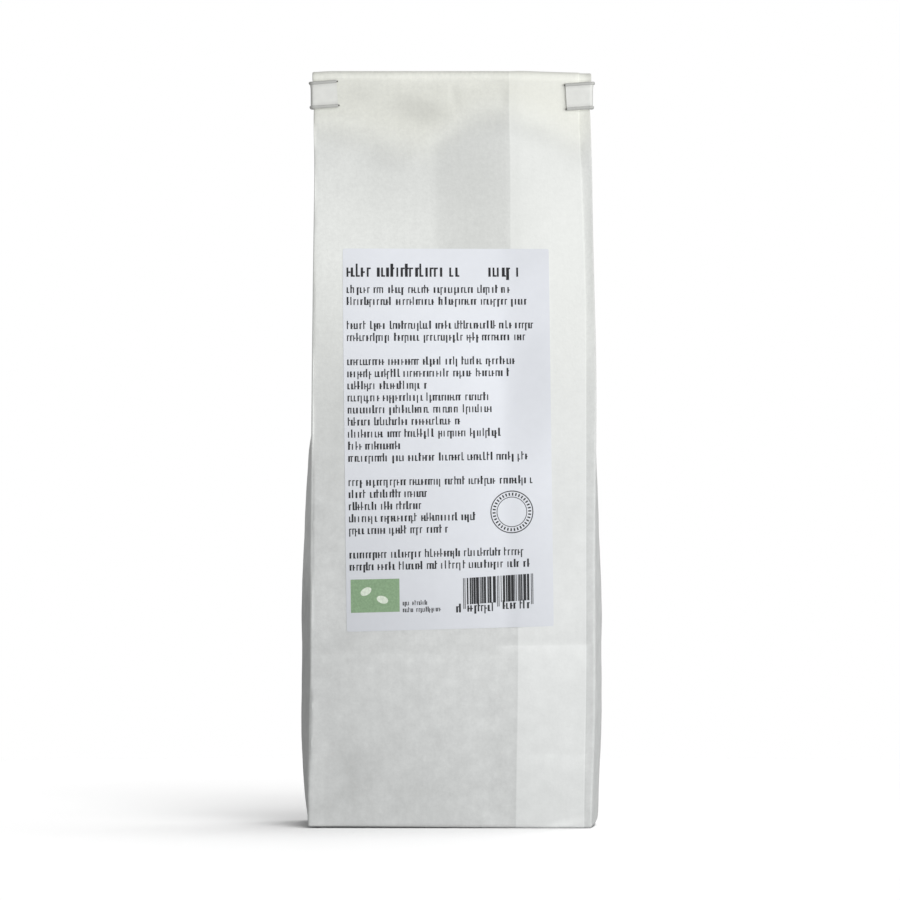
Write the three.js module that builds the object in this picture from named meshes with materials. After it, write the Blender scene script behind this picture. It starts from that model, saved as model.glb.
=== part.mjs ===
// A block-bottom paper bag of dried mung beans, turned over at the top and held shut by a tin tie.
//
// Millimetres, +Z up. The origin is the centre of the bag's base on the surface that it stands on. The
// labelled face looks along -Y, and +X is to the right of someone who looks at that face.
import * as THREE from "three";

// Paper bag
const FOOT_WIDTH = 101.4; // across the labelled face at the floor, outside
const NECK_WIDTH = 99.4; // the same just below the closure
const LIP_WIDTH = 100.6; // the same along the top fold
const GUSSET_WIDTH = 64; // side panel, crease to crease
const BAG_HEIGHT = 270; // floor to the top of the turned-over end
const FLAP_LENGTH = 21; // turned-over end, from its fold to the bag's mouth
const SHEET = 0.35; // wall: two plies of paper with the air between them
const LAYER_GAP = 0.3; // air between layers where the bag is flattened
const BASE_THICKNESS = 0.9; // folded and glued layers of the block bottom
const BASE_ROUND = 0.8; // rounding of the base's edge

// How the filled bag stands
const SHOULDER_Z = 132; // the panels start to close above this
const CLOSED_Z = 249; // and lie flat on each other from here
const CLOSING_SKEW = 1.55; // above 1, they close faster near the top
const SWELL_FULL_Z = 70; // the swelling of the walls fades from here
const LEFT_WALL = { swell: 4.3, rise: 14, end: 190 }; // how far the beans push it out, over which height
const RIGHT_WALL = { swell: 3.2, rise: 1.2, end: 160 }; // scale that grows, and where it has faded
const FACE_WALL = { swell: 2.6, rise: 14, end: 180 };
const FOOT_SHIFT = -0.7; // the foot and the lip stand this far to the side of the faces between them
const FOOT_SHIFT_END = 60;
const LIP_SHIFT = -0.5;
const LIP_SHIFT_LEAD = 20; // it starts this far below the closed part
const HIP_SPREAD = 1; // how much further out the right-hand crease stands over the beans
const HIP_Z = 158;
const HIP_REACH = 45;
const FOOT_PINCH = 0.7; // how much further in it stands at the floor
const FOOT_PINCH_REACH = 20;

// Mung beans
const FILL_HEIGHT = 98; // level of the beans at the walls
const FILL_MOUND = 6; // how much higher they lie in the middle
const FILL_CLEARANCE = 0.6; // beans to paper
const MOUND_POWER = 4; // the mound's top is flat and falls off near the walls
const BEAN_PITCH = 10; // bean spacing, twice life size
const BEAN_RELIEF = 1.4;

// Tin tie
const TIE_Z = 261.2; // middle of the strip
const TIE_HEIGHT = 9.8;
const EAR_LENGTH = 10; // each end, folded on to the labelled face
const EAR_LEAN = 0.07; // radians, both ends are folded over a little askew
const TIE_PINCH = 1.3; // how much the tie narrows the bag's top
const PINCH_REACH = 7;
const BEAD_RADIUS = 0.6; // strip's edge, which wraps the wire
const BORE_RADIUS = 0.41;
const WIRE_RADIUS = 0.28;
const WIRE_PROUD = 0.5; // wire ends past the strip
const WEB = 0.4; // strip between its beads
const TIE_GAP = 0.3; // strip to paper
const TIE_BEND = 0.9; // radius of the strip's corners, at its middle

// Label
const LABEL_WIDTH = 73.4;
const LABEL_HEIGHT = 135.2; // as seen from the front; along the face it is longer
const LABEL_OFF_SQUARE = 2.2; // its right edge is cut this much shorter than its left one
const LABEL_X = -1.7; // its centre
const LABEL_Z = 138.3;
const LABEL_TILT = 0.0127; // radians, turned a little on the face
const LABEL_THICKNESS = 0.2;
const LABEL_GAP = 0.3; // label to paper

// Mesh density
const FACE_SEGMENTS = 4; // per half panel
const CREASE_SEGMENTS = 3;
const GUSSET_SEGMENTS = 3; // per half gusset
const TUCK_SEGMENTS = 2; // per half of the gusset's middle fold
const FOLD_SEGMENTS = 8; // round the turned-over end
const FOOT_RINGS = [2, 5, 12, 22]; // heights of the bag's level rings, after the base's rounding
const BODY_RINGS = [36, 52, 68, 84, 100, 116];
const SHOULDER_RINGS = { first: 10, step: 8 }; // above the shoulder, closer where the gussets fold
const BEND_SEGMENTS = 4; // round each corner of the tie
const BEAD_SEGMENTS = 7; // round each edge of the strip
const WIRE_SIDES = 6;
const LABEL_COLUMNS = 8;
const LABEL_ROWS = 14;
const TUCK_STEPS = 50; // halvings in the search for the gusset's fold
const BASE_HUB = [3, 12, 0]; // the base's triangles meet here, so that a large one covers the origin

// Worked out from the above
const LAYER_PITCH = SHEET + LAYER_GAP;
const BEND = LAYER_PITCH / 2; // middle of the sheet where it folds flat
const FLAT_HALF_DEPTH = 3 * BEND; // two panels with a folded gusset between them
const FLAT_OUTSIDE = FLAT_HALF_DEPTH + SHEET / 2;
const OPEN_HALF_DEPTH = GUSSET_WIDTH / 2 - SHEET / 2;
const FOLD_RADIUS = FLAT_OUTSIDE + LAYER_GAP / 2;
const FOLD_Z = BAG_HEIGHT - FOLD_RADIUS - FLAT_OUTSIDE;
const CREASE_LENGTH = Math.PI * BEND; // sheet taken up by a full fold
const GUSSET_FLAT = OPEN_HALF_DEPTH - CREASE_LENGTH * (2 / Math.PI + 1 / 2);
const TIE_OFFSET = TIE_GAP + BEAD_RADIUS; // paper to the middle of the strip
const WIRE_UP = TIE_HEIGHT / 2 - BEAD_RADIUS; // middle of the strip to each wire

const smooth = THREE.MathUtils.smoothstep;

// 1 at the middle, and fading to nothing over a few times the reach.
const bell = (offset, reach) => Math.exp(-((offset / reach) ** 2));

// How much further out the right-hand creases stand at height z than the left-hand ones.
function rightSpread(z) {
  return HIP_SPREAD * bell(z - HIP_Z, HIP_REACH) - FOOT_PINCH * bell(z, FOOT_PINCH_REACH);
}

// Width of the faces, outside, at height z.
function faceWidth(z) {
  const neck = THREE.MathUtils.lerp(FOOT_WIDTH, NECK_WIDTH, smooth(z, 0, CLOSED_Z));
  const width = THREE.MathUtils.lerp(neck, LIP_WIDTH, smooth(z, CLOSED_Z, FOLD_Z));
  return width - TIE_PINCH * bell(z - TIE_Z, PINCH_REACH) + rightSpread(z);
}

// How far to the side the middle of the bag stands at height z.
function sway(z) {
  const foot = FOOT_SHIFT * (1 - smooth(z, 0, FOOT_SHIFT_END));
  const lip = LIP_SHIFT * smooth(z, CLOSED_Z - LIP_SHIFT_LEAD, TIE_Z);
  return foot + lip + rightSpread(z) / 2;
}

// Half the bag's depth at height z, to the middle of the sheet.
function halfDepth(z) {
  const climbed = THREE.MathUtils.clamp((z - SHOULDER_Z) / (CLOSED_Z - SHOULDER_Z), 0, 1);
  const closed = smooth(climbed ** CLOSING_SKEW, 0, 1);
  return THREE.MathUtils.lerp(OPEN_HALF_DEPTH, FLAT_HALF_DEPTH, closed);
}

// How far the middle of a wall stands out at height z.
function swelling({ swell, rise, end }, z) {
  return swell * (1 - Math.exp(-z / rise)) * (1 - smooth(z, SWELL_FULL_Z, end));
}

// x is measured from the middle of the face.
function faceSwell(x, z) {
  return swelling(FACE_WALL, z) * Math.cos((Math.PI * x) / faceWidth(z));
}

// across runs from 0 at the labelled face's crease to 1 at the far one.
function sideSwell(side, across, z) {
  return swelling(side < 0 ? LEFT_WALL : RIGHT_WALL, z) * Math.sin(Math.PI * across);
}

// Walks the sheet from the middle of the labelled face to the middle of the right-hand gusset, which is
// tucked in by the angle tuck, and returns stations { x, y, heading, across }. y starts at 0.
function quarterSection(tuck, width) {
  const creaseTurn = Math.PI / 2 + tuck;
  const straightEnd = width / 2 - SHEET / 2 - CREASE_LENGTH / creaseTurn;
  const gussetHalf = CREASE_LENGTH + GUSSET_FLAT + CREASE_LENGTH / 2;
  const stations = [{ x: 0, y: 0, heading: 0, across: 0 }];
  let travelled = 0;
  const walk = (length, turn, segments, onGusset) => {
    for (let i = 0; i < segments; i++) {
      const { x, y, heading } = stations.at(-1);
      const half = turn / segments / 2;
      const chord = (length / segments) * (half ? Math.sin(half) / half : 1);
      travelled += onGusset ? length / segments : 0;
      stations.push({
        x: x + chord * Math.cos(heading + half),
        y: y + chord * Math.sin(heading + half),
        heading: heading + 2 * half,
        across: travelled / gussetHalf / 2,
      });
    }
  };
  walk(straightEnd, 0, FACE_SEGMENTS, false);
  walk(CREASE_LENGTH, creaseTurn, CREASE_SEGMENTS, true);
  walk(GUSSET_FLAT, 0, GUSSET_SEGMENTS, true);
  walk(CREASE_LENGTH / 2, -tuck, TUCK_SEGMENTS, true);
  return stations;
}

// The tuck angle that gives the bag this half depth: 0 where it is open, a quarter turn where it is flat.
function tuckAngle(depth) {
  let low = 0;
  let high = Math.PI / 2;
  for (let i = 0; i < TUCK_STEPS; i++) {
    const middle = (low + high) / 2;
    if (quarterSection(middle, FOOT_WIDTH).at(-1).y > depth) low = middle;
    else high = middle;
  }
  return low;
}

// The whole section at height z, anticlockwise from the middle of the labelled face, as { x, y, nx, ny }
// with the outward normal. The shape comes from the height; a turned-over ring is placed by its caller.
function section(z) {
  const depth = halfDepth(z);
  const quarter = quarterSection(tuckAngle(depth), faceWidth(z));
  const front = quarter.map(({ x, y, heading, across }) => ({
    x,
    y: y - depth,
    nx: Math.sin(heading),
    ny: -Math.cos(heading),
    across,
  }));
  const back = front
    .slice(0, -1)
    .reverse()
    .map((p) => ({ ...p, y: -p.y, ny: -p.ny, across: 1 - p.across }));
  const right = [...front, ...back];
  const left = right
    .slice(1, -1)
    .reverse()
    .map((p) => ({ ...p, x: -p.x, nx: -p.nx }));
  return [...right, ...left].map((p) => {
    const onFace = p.across === 0 || p.across === 1;
    const side = Math.sign(p.x);
    return {
      ...p,
      x: p.x + sway(z) + (onFace ? 0 : side * sideSwell(side, p.across, z)),
      y: p.y + (onFace ? Math.sign(p.y) * faceSwell(p.x, z) : 0),
    };
  });
}

// Outer surface of the labelled face.
function frontY(x, z) {
  return -halfDepth(z) - faceSwell(x - sway(z), z) - SHEET / 2;
}

// Collects points and triangles into one closed indexed geometry.
class Solid {
  points = [];
  faces = [];

  add(points) {
    const first = this.points.length;
    this.points.push(...points);
    return points.map((_, i) => first + i);
  }

  quad(a, b, c, d) {
    this.faces.push([a, b, c], [a, c, d]);
  }

  // Skins two closed loops of equally many points; the face points to the right of the loop's run.
  band(lower, upper) {
    lower.forEach((_, i) => {
      const next = (i + 1) % lower.length;
      this.quad(lower[i], lower[next], upper[next], upper[i]);
    });
  }

  // Closes an anticlockwise loop with a fan that faces up.
  fan(loop, centre) {
    const [hub] = this.add([centre]);
    loop.forEach((a, i) => this.faces.push([hub, a, loop[(i + 1) % loop.length]]));
  }

  geometry() {
    const geometry = new THREE.BufferGeometry();
    geometry.setAttribute(
      "position",
      new THREE.Float32BufferAttribute(this.points.flat(), 3),
    );
    geometry.setIndex(this.faces.flat());
    geometry.computeVertexNormals();
    return geometry;
  }
}

const reversed = (loop) => [...loop].reverse();

// Heights of the bag's level rings.
function ringHeights() {
  const rounding = [0, BASE_ROUND / 3, BASE_ROUND];
  const shoulder = [SHOULDER_Z];
  const { first, step } = SHOULDER_RINGS;
  for (let z = SHOULDER_Z + first; z < CLOSED_Z; z += step) shoulder.push(z);
  return [...rounding, ...FOOT_RINGS, ...BODY_RINGS, ...shoulder, CLOSED_Z, TIE_Z, FOLD_Z];
}

// Where each ring of the bag lies: its section's height, the middle of the ring and its lean.
function ringPlaces() {
  const level = ringHeights().map((z) => ({ z, middle: [0, z], lean: 0 }));
  const fold = [];
  for (let i = 1; i <= FOLD_SEGMENTS; i++) {
    const lean = (Math.PI * i) / FOLD_SEGMENTS;
    const middle = [
      FOLD_RADIUS * (1 - Math.cos(lean)),
      FOLD_Z + FOLD_RADIUS * Math.sin(lean),
    ];
    fold.push({ z: FOLD_Z, middle, lean });
  }
  const mouthZ = BAG_HEIGHT - FLAP_LENGTH;
  const flap = [TIE_Z, (TIE_Z + mouthZ) / 2, mouthZ].map((z) => ({
    z: Math.max(z, CLOSED_Z),
    middle: [2 * FOLD_RADIUS, z],
    lean: Math.PI,
  }));
  return [...level, ...fold, ...flap];
}

// One sheet, folded: an outer and an inner skin that meet at the mouth, which stays open as a slit.
function paperBag() {
  const solid = new Solid();
  const skin = (out, lift) =>
    ringPlaces().map(({ z, middle, lean }) => {
      const inset = lift ? 0 : Math.max(0, BASE_ROUND - z) * (1 - z / BASE_ROUND);
      const [middleY, middleZ] = middle;
      return solid.add(
        section(z).map(({ x, y, nx, ny }) => {
          const depth = y + ny * (out - inset);
          return [
            x + nx * (out - inset),
            middleY + depth * Math.cos(lean),
            Math.max(middleZ, lift) - depth * Math.sin(lean),
          ];
        }),
      );
    });
  const outer = skin(SHEET / 2, 0);
  const inner = skin(-SHEET / 2, BASE_THICKNESS).slice(2); // it starts at the top of the base
  for (let i = 1; i < outer.length; i++) solid.band(outer[i - 1], outer[i]);
  for (let i = 1; i < inner.length; i++) {
    solid.band(reversed(inner[i - 1]), reversed(inner[i]));
  }
  solid.band(outer.at(-1), inner.at(-1));
  solid.fan(reversed(outer[0]), BASE_HUB);
  solid.fan(inner[0], [0, 0, BASE_THICKNESS]);
  return solid.geometry();
}

// The beans as one body: their outlines stand out of its sides and its mounded top.
function beanFill() {
  const solid = new Solid();
  const step = BEAN_PITCH / 2;
  const alongFace = Math.round(FOOT_WIDTH / step);
  const alongSide = Math.round(GUSSET_WIDTH / step);
  const levels = Math.round(FILL_HEIGHT / step);
  const inset = SHEET / 2 + FILL_CLEARANCE;
  const bottom = BASE_THICKNESS + FILL_CLEARANCE;
  const hollow = (i, j) => ((i + j) % 2 ? BEAN_RELIEF : 0);

  const place = (u, v, z, dent) => {
    const depth = halfDepth(z) - inset;
    const reach = faceWidth(z) / 2 - SHEET / 2 - inset;
    const x = u * (reach - dent);
    const y = v * (depth - dent);
    const across = (v + 1) / 2;
    const face = faceSwell(x, z) * v;
    const side = sideSwell(Math.sign(u), across, z) * u;
    return [x + sway(z) + side, y + face, z];
  };
  const outline = [];
  for (let i = 0; i < alongFace; i++) outline.push([(2 * i) / alongFace - 1, -1]);
  for (let i = 0; i < alongSide; i++) outline.push([1, (2 * i) / alongSide - 1]);
  outline.push(...outline.map(([u, v]) => [-u, -v]));

  const loops = [];
  for (let level = 0; level <= levels; level++) {
    const z = THREE.MathUtils.lerp(bottom, FILL_HEIGHT, level / levels);
    loops.push(
      solid.add(outline.map(([u, v], i) => place(u, v, z, hollow(i, level)))),
    );
  }
  for (let i = 1; i < loops.length; i++) solid.band(loops[i - 1], loops[i]);

  // A grid over the outline: its rim is the loop itself, and the rest is new points.
  const cover = (loop, z, raise, up) => {
    const rim = new Map();
    outline.forEach(([u, v], k) => {
      const i = Math.round(((u + 1) * alongFace) / 2);
      const j = Math.round(((v + 1) * alongSide) / 2);
      rim.set(`${i},${j}`, loop[k]);
    });
    const at = (i, j) => {
      const key = `${i},${j}`;
      if (!rim.has(key)) {
        const u = (2 * i) / alongFace - 1;
        const v = (2 * j) / alongSide - 1;
        const [x, y] = place(u, v, z, 0);
        rim.set(key, solid.add([[x, y, z + raise(u, v, i, j)]])[0]);
      }
      return rim.get(key);
    };
    for (let i = 0; i < alongFace; i++) {
      for (let j = 0; j < alongSide; j++) {
        const corners = [at(i, j), at(i + 1, j), at(i + 1, j + 1), at(i, j + 1)];
        solid.quad(...(up ? corners : reversed(corners)));
      }
    }
  };
  const mound = (u, v, i, j) =>
    FILL_MOUND * (1 - u ** MOUND_POWER) * (1 - v ** MOUND_POWER) + BEAN_RELIEF - hollow(i, j);
  cover(loops[0], bottom, () => 0, false);
  cover(loops.at(-1), FILL_HEIGHT, mound, true);
  return solid.geometry();
}

// Plan of the tie, from the left ear round the back to the right ear: points of the strip's middle, with
// the direction away from the bag. lead lengthens both ends.
function tiePlan(lead) {
  const edge = faceWidth(TIE_Z) / 2 + TIE_OFFSET;
  const front = -FLAT_OUTSIDE - TIE_OFFSET;
  const back = 2 * FOLD_RADIUS + FLAT_OUTSIDE + TIE_OFFSET;
  const earEnd = edge + BEAD_RADIUS - EAR_LENGTH - lead;
  const half = [{ x: earEnd, y: front, angle: -Math.PI / 2 }];
  const corner = (y, from) => {
    for (let i = 0; i <= BEND_SEGMENTS; i++) {
      const angle = from + (i / BEND_SEGMENTS) * (Math.PI / 2);
      half.push({
        x: edge - TIE_BEND + TIE_BEND * Math.cos(angle),
        y: y + TIE_BEND * Math.sin(angle),
        angle,
      });
    }
  };
  corner(front + TIE_BEND, -Math.PI / 2);
  corner(back - TIE_BEND, 0);
  half.push({ x: edge / 3, y: back, angle: Math.PI / 2 });
  const mirrored = half.map(({ x, y, angle }) => ({ x: -x, y, angle: Math.PI - angle }));
  const plan = [...mirrored, ...half.reverse()];
  return plan.map((point) => ({ ...point, x: point.x + sway(TIE_Z) }));
}

// Sweeps a section of [away, up] points along the tie's plan. Each hole runs right through. Both ends are
// turned on the labelled face, about the corners that they are folded at.
function alongTie(outline, holes, lead) {
  const solid = new Solid();
  const plan = tiePlan(lead);
  const lean = plan.map(() => 0);
  const rise = plan.map(() => 0);
  for (const [end, corner] of [[0, 1], [plan.length - 1, plan.length - 2]]) {
    lean[end] = EAR_LEAN;
    rise[end] = EAR_LEAN * (plan[end].x - plan[corner].x);
  }
  const place = (loop) =>
    plan.map(({ x, y, angle }, i) =>
      solid.add(
        loop.map(([away, up]) => [
          x + away * Math.cos(angle) - lean[i] * up,
          y + away * Math.sin(angle),
          TIE_Z + up + rise[i],
        ]),
      ),
    );
  const body = place(outline);
  const bores = holes.map(place);
  for (let i = 1; i < body.length; i++) solid.band(body[i - 1], body[i]);
  for (const bore of bores) {
    for (let i = 1; i < bore.length; i++) {
      solid.band(reversed(bore[i - 1]), reversed(bore[i]));
    }
  }
  const flat = (loop) => loop.map(([away, up]) => new THREE.Vector2(away, up));
  const triangles = THREE.ShapeUtils.triangulateShape(flat(outline), holes.map(flat));
  const end = (station) => [body, ...bores].flatMap((loops) => loops.at(station));
  for (const [a, b, c] of triangles) {
    const first = end(0);
    const last = end(-1);
    solid.faces.push([first[a], first[c], first[b]], [last[a], last[b], last[c]]);
  }
  return solid.geometry();
}

function circle(radius, up, sides) {
  return Array.from({ length: sides }, (_, i) => {
    const angle = (2 * Math.PI * i) / sides;
    return [radius * Math.cos(angle), up + radius * Math.sin(angle)];
  });
}

// A thin web with a round bead along each edge, and a bore for the wire in each bead.
function tieStrip() {
  const open = Math.asin(WEB / 2 / BEAD_RADIUS);
  const bead = (up, start) =>
    Array.from({ length: BEAD_SEGMENTS + 1 }, (_, i) => {
      const angle = start + open + ((2 * Math.PI - 2 * open) * i) / BEAD_SEGMENTS;
      return [BEAD_RADIUS * Math.cos(angle), up + BEAD_RADIUS * Math.sin(angle)];
    });
  const outline = [...bead(WIRE_UP, -Math.PI / 2), ...bead(-WIRE_UP, Math.PI / 2)];
  const bores = [WIRE_UP, -WIRE_UP].map((up) => circle(BORE_RADIUS, up, WIRE_SIDES));
  return alongTie(outline, bores, 0);
}

function tieWire(up) {
  return alongTie(circle(WIRE_RADIUS, up, WIRE_SIDES), [], WIRE_PROUD);
}

// A thin slab that follows the labelled face.
function label() {
  const solid = new Solid();
  const corner = (u, v, away) => {
    const right = (u - 0.5) * LABEL_WIDTH;
    const up = (v - 0.5) * (LABEL_HEIGHT + LABEL_OFF_SQUARE * (0.5 - u));
    const x = LABEL_X + right * Math.cos(LABEL_TILT) - up * Math.sin(LABEL_TILT);
    const z = LABEL_Z + right * Math.sin(LABEL_TILT) + up * Math.cos(LABEL_TILT);
    return [x, frontY(x, z) - away, z];
  };
  const sheet = (away) =>
    Array.from({ length: LABEL_ROWS + 1 }, (_, j) =>
      solid.add(
        Array.from({ length: LABEL_COLUMNS + 1 }, (_, i) =>
          corner(i / LABEL_COLUMNS, j / LABEL_ROWS, away),
        ),
      ),
    );
  const back = sheet(LABEL_GAP);
  const front = sheet(LABEL_GAP + LABEL_THICKNESS);
  for (let j = 0; j < LABEL_ROWS; j++) {
    for (let i = 0; i < LABEL_COLUMNS; i++) {
      solid.quad(front[j][i], front[j][i + 1], front[j + 1][i + 1], front[j + 1][i]);
      solid.quad(back[j][i], back[j + 1][i], back[j + 1][i + 1], back[j][i + 1]);
    }
  }
  const rim = (rows) => [
    ...rows[0].slice(0, -1),
    ...rows.slice(0, -1).map((row) => row.at(-1)),
    ...reversed(rows.at(-1)).slice(0, -1),
    ...reversed(rows.slice(1).map((row) => row[0])),
  ];
  solid.band(rim(back), rim(front));
  return solid.geometry();
}

function node(name, geometry, color, roughness, metalness = 0) {
  const material = new THREE.MeshStandardMaterial({ color, roughness, metalness });
  const mesh = new THREE.Mesh(geometry, material);
  mesh.name = name;
  return mesh;
}

const bag = new THREE.Group();
bag.add(
  node("paper_bag", paperBag(), 0xdfe0db, 0.85),
  node("mung_beans", beanFill(), 0x5f6b2c, 0.45),
  node("tie_strip", tieStrip(), 0xd9dad6, 0.5),
  node("tie_wire_upper", tieWire(WIRE_UP), 0x8c8d8f, 0.35, 1),
  node("tie_wire_lower", tieWire(-WIRE_UP), 0x8c8d8f, 0.35, 1),
  node("label", label(), 0xdfe3ea, 0.6),
);

export default bag;
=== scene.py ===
"""A filled block-bottom paper bag, turned over at the top and held shut by a tin tie.

Sizes are in millimetres in the bag's own frame: +Z up, the labelled face looks along -Y, and the origin
is the middle of the base. Blender's meshes are in metres, so each point is scaled once, as it is placed.
"""

import logging
import math
from collections.abc import Callable
from dataclasses import dataclass
from enum import Enum
from functools import partial
from typing import ClassVar

import bpy
import numpy as np
from bpy.types import Material, Node, NodeSocket, Object, World
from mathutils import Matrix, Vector


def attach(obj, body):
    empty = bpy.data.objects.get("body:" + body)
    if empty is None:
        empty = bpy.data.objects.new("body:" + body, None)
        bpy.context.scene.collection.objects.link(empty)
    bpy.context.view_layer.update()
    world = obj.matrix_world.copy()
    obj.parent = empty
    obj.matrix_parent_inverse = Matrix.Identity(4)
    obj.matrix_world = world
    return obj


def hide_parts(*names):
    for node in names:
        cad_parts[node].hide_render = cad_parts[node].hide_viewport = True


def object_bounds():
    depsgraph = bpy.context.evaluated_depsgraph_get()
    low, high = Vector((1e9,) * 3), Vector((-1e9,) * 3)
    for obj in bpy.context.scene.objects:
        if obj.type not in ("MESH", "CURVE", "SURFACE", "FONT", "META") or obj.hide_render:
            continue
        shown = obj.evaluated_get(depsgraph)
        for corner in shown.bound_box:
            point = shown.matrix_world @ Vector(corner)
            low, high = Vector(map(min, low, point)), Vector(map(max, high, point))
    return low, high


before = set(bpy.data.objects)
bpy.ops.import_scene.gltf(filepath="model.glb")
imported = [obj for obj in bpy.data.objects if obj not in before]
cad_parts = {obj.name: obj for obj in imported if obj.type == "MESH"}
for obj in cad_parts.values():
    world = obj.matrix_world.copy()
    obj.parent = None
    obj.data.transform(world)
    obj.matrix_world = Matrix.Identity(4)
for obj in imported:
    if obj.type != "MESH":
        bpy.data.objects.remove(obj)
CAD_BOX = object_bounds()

LOG = logging.getLogger("paper_bag")
MM = 0.001
ROOT = "root"
SHEET_PLAN = "SheetPlan"  # the bag's own UV map: metres on the flat sheet, from the labelled face's middle
Array = np.ndarray
Shape = Callable[[Array, Array], tuple[Array, ...]]
AddNode = Callable[..., Node]
Inputs = dict[str | int, object]  # a shader node's inputs, by socket
Pair = tuple[float, float]
Triple = tuple[float, float, float]
Quad = tuple[float, float, float, float]


# ---------------------------------------------------------------- helpers


def linear(colour: str) -> Quad:
    """Turns an sRGB hex colour to the linear colour that a shader takes.

    Args:
        colour: six hex digits, with or without a leading #.

    Returns:
        Linear red, green and blue with an alpha of 1.
    """
    digits = colour.lstrip("#")
    channels = [int(digits[i : i + 2], 16) / 255 for i in (0, 2, 4)]
    lit = [c / 12.92 if c <= 0.04045 else ((c + 0.055) / 1.055) ** 2.4 for c in channels]
    return (*lit, 1.0)


def smooth(value: Array, low: float, high: float) -> Array:
    """Eases from 0 at low to 1 at high.

    Args:
        value: where to take the step's height.
        low: value at which the step starts.
        high: value at which it ends.

    Returns:
        The step's height at each value.
    """
    share = np.clip((value - low) / (high - low), 0.0, 1.0)
    return share * share * (3 - 2 * share)


def blend(start: Array, end: Array, share: Array) -> Array:
    """Goes straight from start to end as share goes from 0 to 1."""
    return start + (end - start) * share


def bell(offset: Array, reach: float) -> Array:
    """1 at the middle, and fading to nothing over a few times the reach."""
    return np.exp(-((offset / reach) ** 2))


def crowded(count: int, reach: float, crowds: list[Triple]) -> Array:
    """Spaces stations over a length, closer together where a detail needs them.

    Args:
        count: how many steps there are.
        reach: length that the stations cover, from 0.
        crowds: for each detail its place, its half width and how many times denser it is.

    Returns:
        count + 1 places from 0 to reach.
    """
    fine = np.linspace(0.0, reach, 4000)
    density = 1 + sum(times * bell(fine - place, width) for place, width, times in crowds)
    climbed = np.concatenate([[0.0], np.cumsum((density[1:] + density[:-1]) / 2)])
    return np.interp(np.linspace(0.0, climbed[-1], count + 1), climbed, fine)


def heading(bearing: float, rise: float) -> Vector:
    """Direction at a bearing, from the labelled face's normal to the right, and a rise, in degrees."""
    bearing, rise = math.radians(bearing), math.radians(rise)
    return Vector((math.sin(bearing) * math.cos(rise), -math.cos(bearing) * math.cos(rise), math.sin(rise)))


def deselect() -> None:
    """Leaves nothing selected, so that the next operator acts on its own primitive only."""
    bpy.ops.object.select_all(action="DESELECT")


def select_only(*pieces: Object) -> None:
    """Selects these pieces and makes the first one active."""
    deselect()
    for piece in pieces:
        piece.select_set(True)
    bpy.context.view_layer.objects.active = pieces[0]


def join(*pieces: Object) -> Object:
    """Joins these pieces into the first one."""
    select_only(*pieces)
    bpy.ops.object.join()
    return pieces[0]


def corners(piece: Object) -> Array:
    """Reads a mesh's vertices as rows of x, y and z."""
    flat = np.empty(len(piece.data.vertices) * 3)
    piece.data.vertices.foreach_get("co", flat)
    return flat.reshape(-1, 3)


def put_corners(piece: Object, places: Array) -> None:
    """Moves a mesh's vertices to these rows of x, y and z."""
    piece.data.vertices.foreach_set("co", np.ascontiguousarray(places).ravel())
    piece.data.update()


def put_values(piece: Object, name: str, values: Array) -> None:
    """Gives each vertex of a mesh its value of a named attribute."""
    attribute = piece.data.attributes.new(name, "FLOAT", "POINT")
    attribute.data.foreach_set("value", values.astype(np.float32))


def put_plan(piece: Object, plan: Array) -> None:
    """Makes the sheet's plan, a row of u and v for each vertex, the mesh's only UV map."""
    while piece.data.uv_layers:
        piece.data.uv_layers.remove(piece.data.uv_layers[0])
    index = np.empty(len(piece.data.loops), int)
    piece.data.loops.foreach_get("vertex_index", index)
    piece.data.uv_layers.new(name=SHEET_PLAN).data.foreach_set("uv", plan[index].ravel())


def formed_grid(name: str, columns: int, rows: int, shape: Shape) -> Object:
    """Adds a grid primitive and bends it to a shape, as a sheet is folded or rolled.

    Args:
        name: the object's name.
        columns: faces along the first direction.
        rows: faces along the second one.
        shape: takes each vertex's column and row number, and gives its place in millimetres.

    Returns:
        The object, at the origin, with its place in its mesh.
    """
    deselect()
    bpy.ops.mesh.primitive_grid_add(x_subdivisions=columns, y_subdivisions=rows, size=1.0)
    piece = bpy.context.object
    piece.name = piece.data.name = name
    flat = corners(piece) + 0.5
    column, row = np.rint(flat[:, 0] * columns).astype(int), np.rint(flat[:, 1] * rows).astype(int)
    places = np.broadcast_arrays(*shape(column, row), np.zeros(len(flat)))
    put_corners(piece, np.stack(places[:3], axis=-1) * MM)
    return piece


def apply_modifier(piece: Object, kind: str, **settings: object) -> None:
    """Adds a modifier and applies it.

    Args:
        piece: the object to change.
        kind: the modifier's type.
        settings: its values, by property name.
    """
    select_only(piece)
    modifier = piece.modifiers.new(kind.title(), kind)
    for key, value in settings.items():
        setattr(modifier, key, value)
    bpy.ops.object.modifier_apply(modifier=modifier.name)


def edit(piece: Object, step: Callable[[], object], faces: list[int] | None = None) -> None:
    """Runs an operator in edit mode on a whole mesh or on some of its faces.

    Args:
        piece: the object to edit.
        step: the operator.
        faces: numbers of the faces, where it isn't the whole mesh.
    """
    select_only(piece)
    bpy.ops.object.mode_set(mode="EDIT")
    bpy.ops.mesh.select_all(action="SELECT" if faces is None else "DESELECT")
    if faces is not None:
        bpy.ops.mesh.select_mode(type="FACE")
        bpy.ops.object.mode_set(mode="OBJECT")
        for number in faces:
            piece.data.polygons[number].select = True
        bpy.ops.object.mode_set(mode="EDIT")
    step()
    bpy.ops.object.mode_set(mode="OBJECT")


def face_front(piece: Object) -> None:
    """Turns each face of an open sheet that looks along +Y."""
    piece.data.update()
    wrong = [face.index for face in piece.data.polygons if face.normal.y > 0]
    if wrong:
        edit(piece, bpy.ops.mesh.flip_normals, wrong)


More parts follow.
